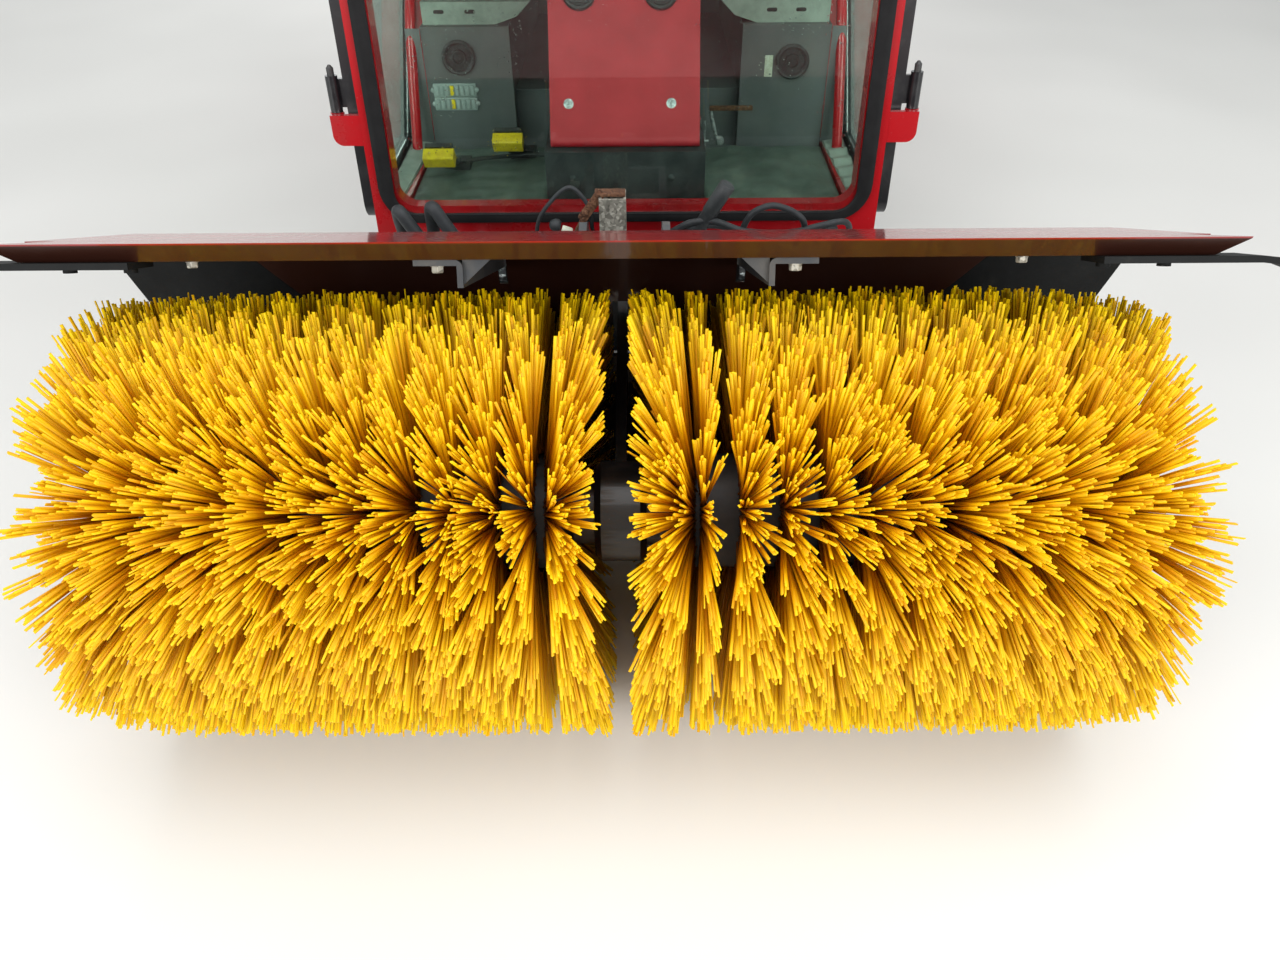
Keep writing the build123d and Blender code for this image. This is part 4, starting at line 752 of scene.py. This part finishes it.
parking = {"bar": ((206, 312), -1150, 562), "rod": ((208, -1150, 556), (226, -1152, 486)),
           "knob": (234, -1140, 480)}
shape = bmesh.new()
(low, high), y, z = parking["bar"]
slab(shape, rectangle(high - low, 11), 10, spot((low + high) / 2, y, z), 2)
newPiece("parking_bracket", shape, "dark_steel", "rusty_steel")
shape = bmesh.new()
sweep(shape, [spot(*p) for p in parking["rod"]], 4.5)
sweep(shape, [spot(180, -1156, 482), spot(206, -1156, 482)], 3)
sweep(shape, [spot(197, -1152, 450), spot(196, -1152, 530)], 2)
lathe(shape, spot(*parking["knob"]), (0, -1, 0), [
    (0, 0), (8, 0), (11, 6), (11, 16), (7, 22), (0, 23)], 24)
newPiece("parking_linkage", shape, "zinc_steel")

pedalGear = {"cylinders": ((-446, -1206, 452), (-290, -1140, 462)),
             "pipe": ((-420, -1190, 446), (-350, -1150, 440), (-250, -1140, 444), (-200, -1150, 446))}
shape = bmesh.new()
for x, y, z in pedalGear["cylinders"]:
    lathe(shape, spot(x - 20, y, z), (1, 0.1, 0), [
        (0, 0), (7, 0), (7, 6), (13, 8), (13, 40), (9, 44), (9, 50), (4, 52), (4, 62), (0, 62)], 24)
sweep(shape, [spot(*p) for p in pedalGear["pipe"]], 5)
newPiece("pedal_linkage", shape, "dark_steel")

dashTrim = {"switches": range(-150, 91, 40), "gauges": (-392, -308), "row": (-1092, 1142),
            "out": (0, 0.8, 0.6), "hub": (-350, -995, 1178), "hubAxis": (0, 0.883, 0.469)}
shape, lens = bmesh.new(), bmesh.new()
for x in dashTrim["switches"]:
    slab(shape, rounded(26, 17, 3), 6, spot(x, *dashTrim["row"]), 1.5, (-1, 0, 0), (0, -0.6, 0.8))
for x in dashTrim["gauges"]:
    at, out = spot(x, *dashTrim["row"]), dashTrim["out"]
    lathe(shape, at, out, [(30, 0), (36, 0), (36, 6), (33, 9), (30, 6), (30, 0)], 40)
    lathe(lens, at, out, [(0, 4.5), (29, 3.5), (29, 1), (0, 1)], 40)
lathe(shape, spot(*dashTrim["hub"]), dashTrim["hubAxis"], [
    (0, 13.2), (40, 13.2), (38, 17), (28, 20), (0, 21)], 40)
newPiece("dash_controls", shape, "dark_plastic")
newPiece("gauge_lenses", lens, "lamp_plastic", "mirror_glass")
print("cab trim")


# hoses and coupler ahead of the cab

hoseRuns = {
    "thick": (14, [
        ((-480, -1556, 357), (-482, -1600, 430), (-479, -1640, 512), (-452, -1650, 478), (-416, -1640, 410),
         (-400, -1556, 357)),
        ((-440, -1556, 357), (-420, -1600, 430), (-408, -1640, 520), (-380, -1650, 484), (-340, -1640, 405),
         (-350, -1556, 357)),
    ]),
    "thin": (6.8, [
        ((245, -1556, 357), (247, -1620, 430), (258, -1642, 484), (276, -1645, 509), (314, -1645, 521),
         (360, -1644, 504), (384, -1640, 472), (395, -1556, 357)),
        ((195, -1556, 357), (120, -1590, 400), (94, -1636, 450), (118, -1645, 474), (145, -1648, 487),
         (192, -1650, 489), (259, -1650, 466), (353, -1650, 463), (420, -1648, 478), (470, -1642, 482),
         (486, -1600, 430), (445, -1556, 357)),
        ((295, -1556, 357), (285, -1620, 420), (262, -1640, 446), (222, -1644, 472), (160, -1644, 476),
         (112, -1632, 446), (122, -1590, 390), (140, -1530, 352)),
        ((345, -1556, 357), (390, -1610, 410), (418, -1642, 456), (446, -1642, 470), (462, -1600, 420),
         (470, -1526, 357)),
    ]),
}
for word, (radius, runs) in hoseRuns.items():
    shape, ferrules = bmesh.new(), bmesh.new()
    for run in runs:
        points = [spot(*p) for p in run]
        sweep(shape, points, radius, 16)
        for end, nextPoint in ((points[0], points[1]), (points[-1], points[-2])):
            r = radius + 2.6
            lathe(ferrules, end, nextPoint - end, [
                (0, -4), (r, -4), (r, 6), (r - 1.2, 8), (r - 1.2, 12), (r, 14), (r, 22), (r - 2, 25),
                (0, 25)], 20)
    newPiece(f"hoses_{word}", shape, "seal_rubber", "hose_rubber", sharp=60)
    newPiece(f"ferrules_{word}", ferrules, "zinc_steel")

dustCap = {"foot": (150, -1636, 452), "axis": (0.47, -0.12, 0.87), "radius": 17, "long": 136}
shape = bmesh.new()
r, top = dustCap["radius"], dustCap["long"]
lathe(shape, spot(*dustCap["foot"]), dustCap["axis"], [
    (0, 0), (r - 4, 0), (r - 2, 3), (r - 2, 60), (r, 64), (r, top - 3), (r - 2, top), (r - 4.5, top),
    (r - 6, top - 2.5), (0, top - 2.5)])
sweep(shape, [spot(152, -1636, 456), spot(138, -1620, 410), spot(136, -1560, 360)], 8)
newPiece("dust_cap", shape, "dark_plastic", "worn_plastic")

latch = {"crown": ((-62, 2), -1642, 547), "flat": ((-50, 552), (-88, 500)),
         "rod": ((-84, 505), (-108, 460)), "pin": (-134, -1652, 476), "knob": (-136, -1646, 480), "cable": (
             (-150, -1560, 396), (-186, -1620, 430), (-186, -1642, 480), (-163, -1648, 524),
             (-114, -1650, 566), (-76, -1648, 524), (-70, -1640, 470), (-66, -1618, 442))}
shape = bmesh.new()
(low, high), y, z = latch["crown"]
slab(shape, rectangle(high - low, 30), 7, spot((low + high) / 2, y, z), up=(0, 1, 0))
(x0, z0), (x1, z1) = latch["flat"]
along = Vector((x1 - x0, 0, z1 - z0))
slab(shape, rounded(along.length + 14, 21, 6), 6, spot((x0 + x1) / 2, -1648, (z0 + z1) / 2), 1.2,
     along, (-along.z, 0, along.x))
(x0, z0), (x1, z1) = latch["rod"]
sweep(shape, [spot(x0, -1650, z0), spot((x0 + x1) / 2, -1651, (z0 + z1) / 2), spot(x1, -1650, z1)], 5)
lathe(shape, spot(x0, -1652, z0 + 6), (0, -1, 0), [(0, 0), (8, 0), (8, 3), (5, 6), (0, 6.5)], 20)
newPiece("coupler_latch", shape, "dark_steel", "rusty_steel", body="lift_linkage")
shape = bmesh.new()
lathe(shape, spot(*latch["pin"]), (1, 0, -0.35), [
    (0, 0), (7, 0), (8, 2), (8, 20), (6, 23), (3, 23), (3, 20), (0, 20)], 24)
newPiece("coupler_pin", shape, "lamp_plastic", "pale_label", body="lift_linkage")
shape = bmesh.new()
lathe(shape, spot(*latch["knob"]), (-1, 0, 0.1), [
    (0, 0), (9, 0), (13, 5), (14, 12), (11, 20), (6, 24), (0, 25)], 28)
sweep(shape, [spot(*p) for p in latch["cable"]], 4.4, 12)
newPiece("coupler_cable", shape, "seal_rubber", "hose_rubber", sharp=60, body="lift_linkage")
print("hoses and coupler")


# fasteners

wheelTrim = {"axles": (("front", -575), ("rear", 770)), "high": 320, "nuts": 5, "circle": 71, "nutX": 515.2,
             "capX": 540.2}
for end, axleY in wheelTrim["axles"]:
    for hand, side in (("left", 1), ("right", -1)):
        shape, cap, axis = bmesh.new(), bmesh.new(), (side, 0, 0)
        for k in range(wheelTrim["nuts"]):
            turn = math.radians(360 / wheelTrim["nuts"] * k)
            at = spot(side * wheelTrim["nutX"], axleY - wheelTrim["circle"] * math.sin(turn),
                      wheelTrim["high"] + wheelTrim["circle"] * math.cos(turn))
            lathe(shape, at, axis, [(0, 0), (13, 0), (13, 3), (0, 3)], 24)
            lathe(shape, at, axis, [(0, 3), (11, 3), (11, 14), (9.4, 17), (6, 17), (6, 15), (0, 15)], 6)
            lathe(shape, at, axis, [(0, 14), (6, 14), (6, 23), (5, 24), (0, 24)], 16)
        lathe(cap, spot(side * wheelTrim["capX"], axleY, wheelTrim["high"]), axis, [
            (0, 0), (41, 0), (41, 3), (39, 6), (24, 9), (22, 14), (8, 16), (0, 16)], 40)
        newPiece(f"wheel_nuts_{end}_{hand}", shape, "zinc_steel", body=f"wheel_{end}_{hand}")
        newPiece(f"hub_cap_{end}_{hand}", cap, "dark_steel", body=f"{end}_frame")


def onHood(x, back, off=0.0):
    # a place on the hood's plane, back from its front edge and off along the normal
    y = hoodEdge[0] + back * math.cos(slope) + off * math.sin(slope)
    return spot(x, y, hoodEdge[1] - back * math.sin(slope) + off * math.cos(slope))


hoodBolts = {"return": (-568, 543), "returnOff": -24.6, "back": 30, "flats": 13,
             "iron": 242, "ironOff": -32.7, "ironBack": (40, 330), "ironFlats": 15}
shape = bmesh.new()
for x in hoodBolts["return"]:
    bolt(shape, onHood(x, hoodBolts["back"], hoodBolts["returnOff"]), -hoodUp, hoodBolts["flats"])
for side in (1, -1):
    for back in hoodBolts["ironBack"]:
        at = onHood(side * hoodBolts["iron"], back, hoodBolts["ironOff"])
        bolt(shape, at, -hoodUp, hoodBolts["ironFlats"])
newPiece("hood_bolts", shape, "zinc_steel", "aged_zinc", body="broom_carrier")

beam = {"end": 560.2, "y": -1938, "z": 470, "plateTop": 518.4, "boltX": (196, 222), "boltY": (-1962, -1914),
        "flats": 13}
shape = bmesh.new()
for side in (1, -1):
    for y in beam["boltY"]:
        for x in beam["boltX"]:
            bolt(shape, spot(side * x, y, beam["plateTop"]), (0, 0, 1), beam["flats"])
    slab(shape, rounded(78, 78, 8), 3, spot(side * beam["end"], beam["y"], beam["z"]), 1, (0, side, 0))
newPiece("beam_bolts", shape, "zinc_steel", body="broom_carrier")

bumper = {"x": (-420, -150, 150, 420), "z": (540, 450), "face": 1300.2, "flats": 19}
shape = bmesh.new()
for x in bumper["x"]:
    for z in bumper["z"]:
        bolt(shape, spot(x, bumper["face"], z), (0, 1, 0), bumper["flats"])
newPiece("bumper_bolts", shape, "zinc_steel", body="rear_frame")

screenFoot, lean = (-1500, 385), math.radians(4)


def onScreen(x, height, out):
    # a place on the leaning screen: height up it from the cab's foot, and out ahead of its plane
    y = screenFoot[0] + height * math.sin(lean) - out * math.cos(lean)
    return spot(x, y, screenFoot[1] + height * math.cos(lean) + out * math.sin(lean))


hinge = {"x": 625, "back": 36, "pins": (209, 1184), "ends": ((30, -1), (153.2, 1))}
shape = bmesh.new()
for side in (1, -1):
    for low in hinge["pins"]:
        for height, reach in hinge["ends"]:
            axis = Vector((0, math.sin(lean), math.cos(lean))) * reach
            lathe(shape, onScreen(side * hinge["x"], low + height, -hinge["back"]), axis, [
                (0, -15), (7.6, -15), (7.6, 1), (5, 4), (3, 7), (0, 8)], 20)
newPiece("hinge_caps", shape, "dark_steel")
print("fasteners")


# rubber seals

screenSeal = {"half": 532, "low": 59, "high": 1425.5, "corner": 62, "arc": 9, "section": (
    (-15, -3, 8.4), (-14, -2, 10.8), (-4, 0, 13.4), (2, 3, 13.0), (5, 5, 13.7), (12, 12, 13.7),
    (18.6, 18.6, 12.7), (20, 20, 6), (20, 20, 0.4), (-1, -1, 0.4))}
shape = bmesh.new()
middle = (screenSeal["low"] + screenSeal["high"]) / 2
loops = []
for grow, rise, out in screenSeal["section"]:
    face = rounded(2 * (screenSeal["half"] + grow), screenSeal["high"] - screenSeal["low"] + 2 * rise,
                   screenSeal["corner"] + grow, screenSeal["arc"])
    loops.append([shape.verts.new(onScreen(x, middle + z, out)) for x, z in face])
skin(shape, [*loops, loops[0]])
newPiece("screen_seal", shape, "seal_rubber", replaced=["windscreen_seal"], sharp=50)

doorSeal = {"x": 574, "radius": 7, "corner": 30,
            "points": ((-1437, 446), (-1009, 446), (-806, 705), (-716, 825), (-716, 1792), (-1345, 1792))}


def roundedLine(corners, radius, steps=5):
    # a closed outline whose corners are drawn as short arcs
    line = []
    count = len(corners)
    for k in range(count):
        before, here, after = (Vector((0, *corners[i % count])) for i in (k - 1, k, k + 1))
        enter = here + (before - here).normalized() * radius
        leave = here + (after - here).normalized() * radius
        for j in range(steps + 1):
            t = j / steps
            line.append(enter * (1 - t) ** 2 + here * 2 * t * (1 - t) + leave * t * t)
    return line


for side, word in ((1, "left"), (-1, "right")):
    shape = bmesh.new()
    line = roundedLine(doorSeal["points"], doorSeal["corner"])
    run = [spot(side * doorSeal["x"], p.y, p.z) for p in [*line, line[0], line[1]]]
    sweep(shape, run, doorSeal["radius"], 12, 2)
    newPiece(f"door_seal_{word}", shape, "seal_rubber")
print("door seals")


# glass and lamps outside

mirror = {"x": 690, "face": -1516.8, "z": 1490, "wide": 130, "tall": 226, "corner": 22}
shape = bmesh.new()
for side in (1, -1):
    slab(shape, rounded(mirror["wide"], mirror["tall"], mirror["corner"]), 2.5,
         spot(side * mirror["x"], mirror["face"], mirror["z"]), 1, (-1, 0, 0))
newPiece("mirror_glasses", shape, "tinted_glass", "mirror_glass")

roofLamp = {"x": 380, "face": -1492, "z": 1836}
shape = bmesh.new()
for side in (1, -1):
    lathe(shape, spot(side * roofLamp["x"], roofLamp["face"], roofLamp["z"]), (0, -1, 0), [
        (0, 2.6), (40, 0.2), (43, -1), (43, -3), (0, -3)], 40)
newPiece("lamp_lenses", shape, "lamp_plastic")

beaconAt = {"x": -360, "y": -330, "z": 1962.6, "ribs": 36}
shape = bmesh.new()
for k in range(beaconAt["ribs"]):
    turn = 2 * math.pi * k / beaconAt["ribs"]
    out = Vector((math.cos(turn), math.sin(turn), 0))
    foot = spot(beaconAt["x"], beaconAt["y"], beaconAt["z"]) + out * 55.4 * mm
    sweep(shape, [foot + Vector((0, 0, 0.044)), foot - out * 0.0018 + Vector((0, 0, 0.074)),
                  foot - out * 0.0034 + Vector((0, 0, 0.102))], 1.6, 6, 2)
newPiece("beacon_ribs", shape, "amber_plastic")
shape = bmesh.new()
lathe(shape, spot(beaconAt["x"], beaconAt["y"], beaconAt["z"] + 0.3), (0, 0, 1), [
    (66.4, 0), (69, 0), (69, 14), (67, 19), (60, 27), (57, 27.6), (59, 24), (66.4, 18), (66.4, 0)], 48)
newPiece("beacon_foot", shape, "dark_plastic")

tailLamp = {"z": 495, "tall": 60, "face": 1299.2, "lenses": (
    ("indicator_lenses", "amber_plastic", 34, (420,)), ("stop_lenses", "red_lens", 31, (348, 383)))}
for name, slotName, wide, places in tailLamp["lenses"]:
    shape = bmesh.new()
    for side in (1, -1):
        for x in places:
            at = spot(side * x, tailLamp["face"], tailLamp["z"])
            slab(shape, rounded(wide, tailLamp["tall"], 6), 5, at, 2, (-1, 0, 0))
    newPiece(name, shape, slotName, body="rear_frame")
print("lamps and mirrors")


# seat cushions

cushion = {"x": 350, "squab": (286, 456, 92, 26), "squabAt": (-760, 821), "back": (286, 584, 84, 30),
           "backLean": 9, "backAt": (-428.4, 1070.9), "voxel": 6, "pressure": 4.0, "cap": 22, "channel": 72,
           "sink": 5.0, "shrink": 7, "stitch": 3.2, "rim": 3, "frames": 20}


def cushionMesh(name, size, channels):
    # a rounded pad remeshed for cloth, its sewn channels pinned and pulled in
    wide, long, thick, soft = size
    less = cushion["shrink"]
    shape = bmesh.new()
    bmesh.ops.create_cube(shape, size=1.0)
    scale = Vector((wide - 2 * less, long - 2 * less, thick - 2 * less)) * mm
    bmesh.ops.scale(shape, vec=scale, verts=shape.verts)
    bmesh.ops.bevel(shape, geom=shape.edges[:], offset=soft * mm, segments=5, profile=0.6, affect="EDGES")
    mesh = bpy.data.meshes.new(name)
    shape.to_mesh(mesh)
    shape.free()
    pad = addObject(name, mesh)
    remesh = pad.modifiers.new("remesh", "REMESH")
    remesh.mode = "VOXEL"
    remesh.voxel_size = cushion["voxel"] * mm
    freeze(pad)
    sewn = pad.vertex_groups.new(name="sewn")
    for vertex in pad.data.vertices:
        place = vertex.co / mm
        near = min(abs(place.x - line) for line in channels)
        edgeSeam = abs(place.z) < cushion["rim"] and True
        if near < cushion["stitch"] and place.z > thick * 0.2:
            vertex.co.z -= cushion["sink"] * mm * (1 - near / 6)
            sewn.add([vertex.index], 1.0, "REPLACE")
        elif edgeSeam or place.z < -thick / 2 + less + 1:
            sewn.add([vertex.index], 0.9 if edgeSeam else 0.6, "REPLACE")
    return pad


def freeze(piece):
    # the modifiers' result becomes the piece's own mesh
    bpy.context.view_layer.update()
    made = bpy.data.meshes.new_from_object(piece.evaluated_get(bpy.context.evaluated_depsgraph_get()))
    piece.modifiers.clear()
    piece.data = made


def inflate(pad):
    # the cloth swells under pressure, and no point moves further than the cap
    start = np.array([v.co[:] for v in pad.data.vertices])
    cloth = pad.modifiers.new("cloth", "CLOTH")
    feel = cloth.settings
    feel.quality = 5
    feel.mass = 0.4
    feel.use_pressure = True
    feel.uniform_pressure_force = cushion["pressure"]
    feel.effector_weights.gravity = 0
    feel.vertex_group_mass = "sewn"
    feel.pin_stiffness = 1.0
    feel.tension_stiffness = 12
    feel.bending_stiffness = 0.6
    cloth.point_cache.frame_start = 1
    cloth.point_cache.frame_end = cushion["frames"]
    for step in range(1, cushion["frames"] + 1):
        bpy.context.scene.frame_set(step)
    freeze(pad)
    bpy.context.scene.frame_set(1)
    end = np.array([v.co[:] for v in pad.data.vertices])
    move = end - start
    far = np.linalg.norm(move, axis=1)[:, None]
    end = start + move * np.minimum(1.0, cushion["cap"] * mm / np.maximum(far, 1e-9))
    pad.data.vertices.foreach_set("co", end.ravel())
    pad.data.update()


for word, size, at, turn in (("squab", cushion["squab"], cushion["squabAt"], 0.0),
                             ("back", cushion["back"], cushion["backAt"], 90 - cushion["backLean"])):
    outer = cushion["channel"]
    lines = (-outer, outer) if word == "squab" else (-outer, 0, outer)
    master = cushionMesh(f"seat_{word}", size, lines)
    inflate(master)
    master.modifiers.new("smooth", "SUBSURF").levels = 1
    freeze(master)
    master.data.shade_smooth()
    master.data.materials.clear()
    master.data.materials.append(finishes["seat_vinyl"])
    moved = master.data
    half = np.array([v.co[:] for v in moved.vertices])
    limit = np.array(size[:3]) / 2 * mm * 1.02
    moved.vertices.foreach_set("co", np.clip(half, -limit, limit).ravel())
    moved.update()
    for side, hand in ((1, "left"), (-1, "right")):
        piece = addObject(f"seat_{word}_{hand}", moved.copy())
        place = Matrix.Translation(spot(side * cushion["x"], *at))
        place = place @ Matrix.Rotation(math.radians(turn), 4, "X")
        piece.data.transform(place)
        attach(piece, "front_frame")
        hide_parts("seat_cushions")
    bpy.data.objects.remove(master)
print("cushions")
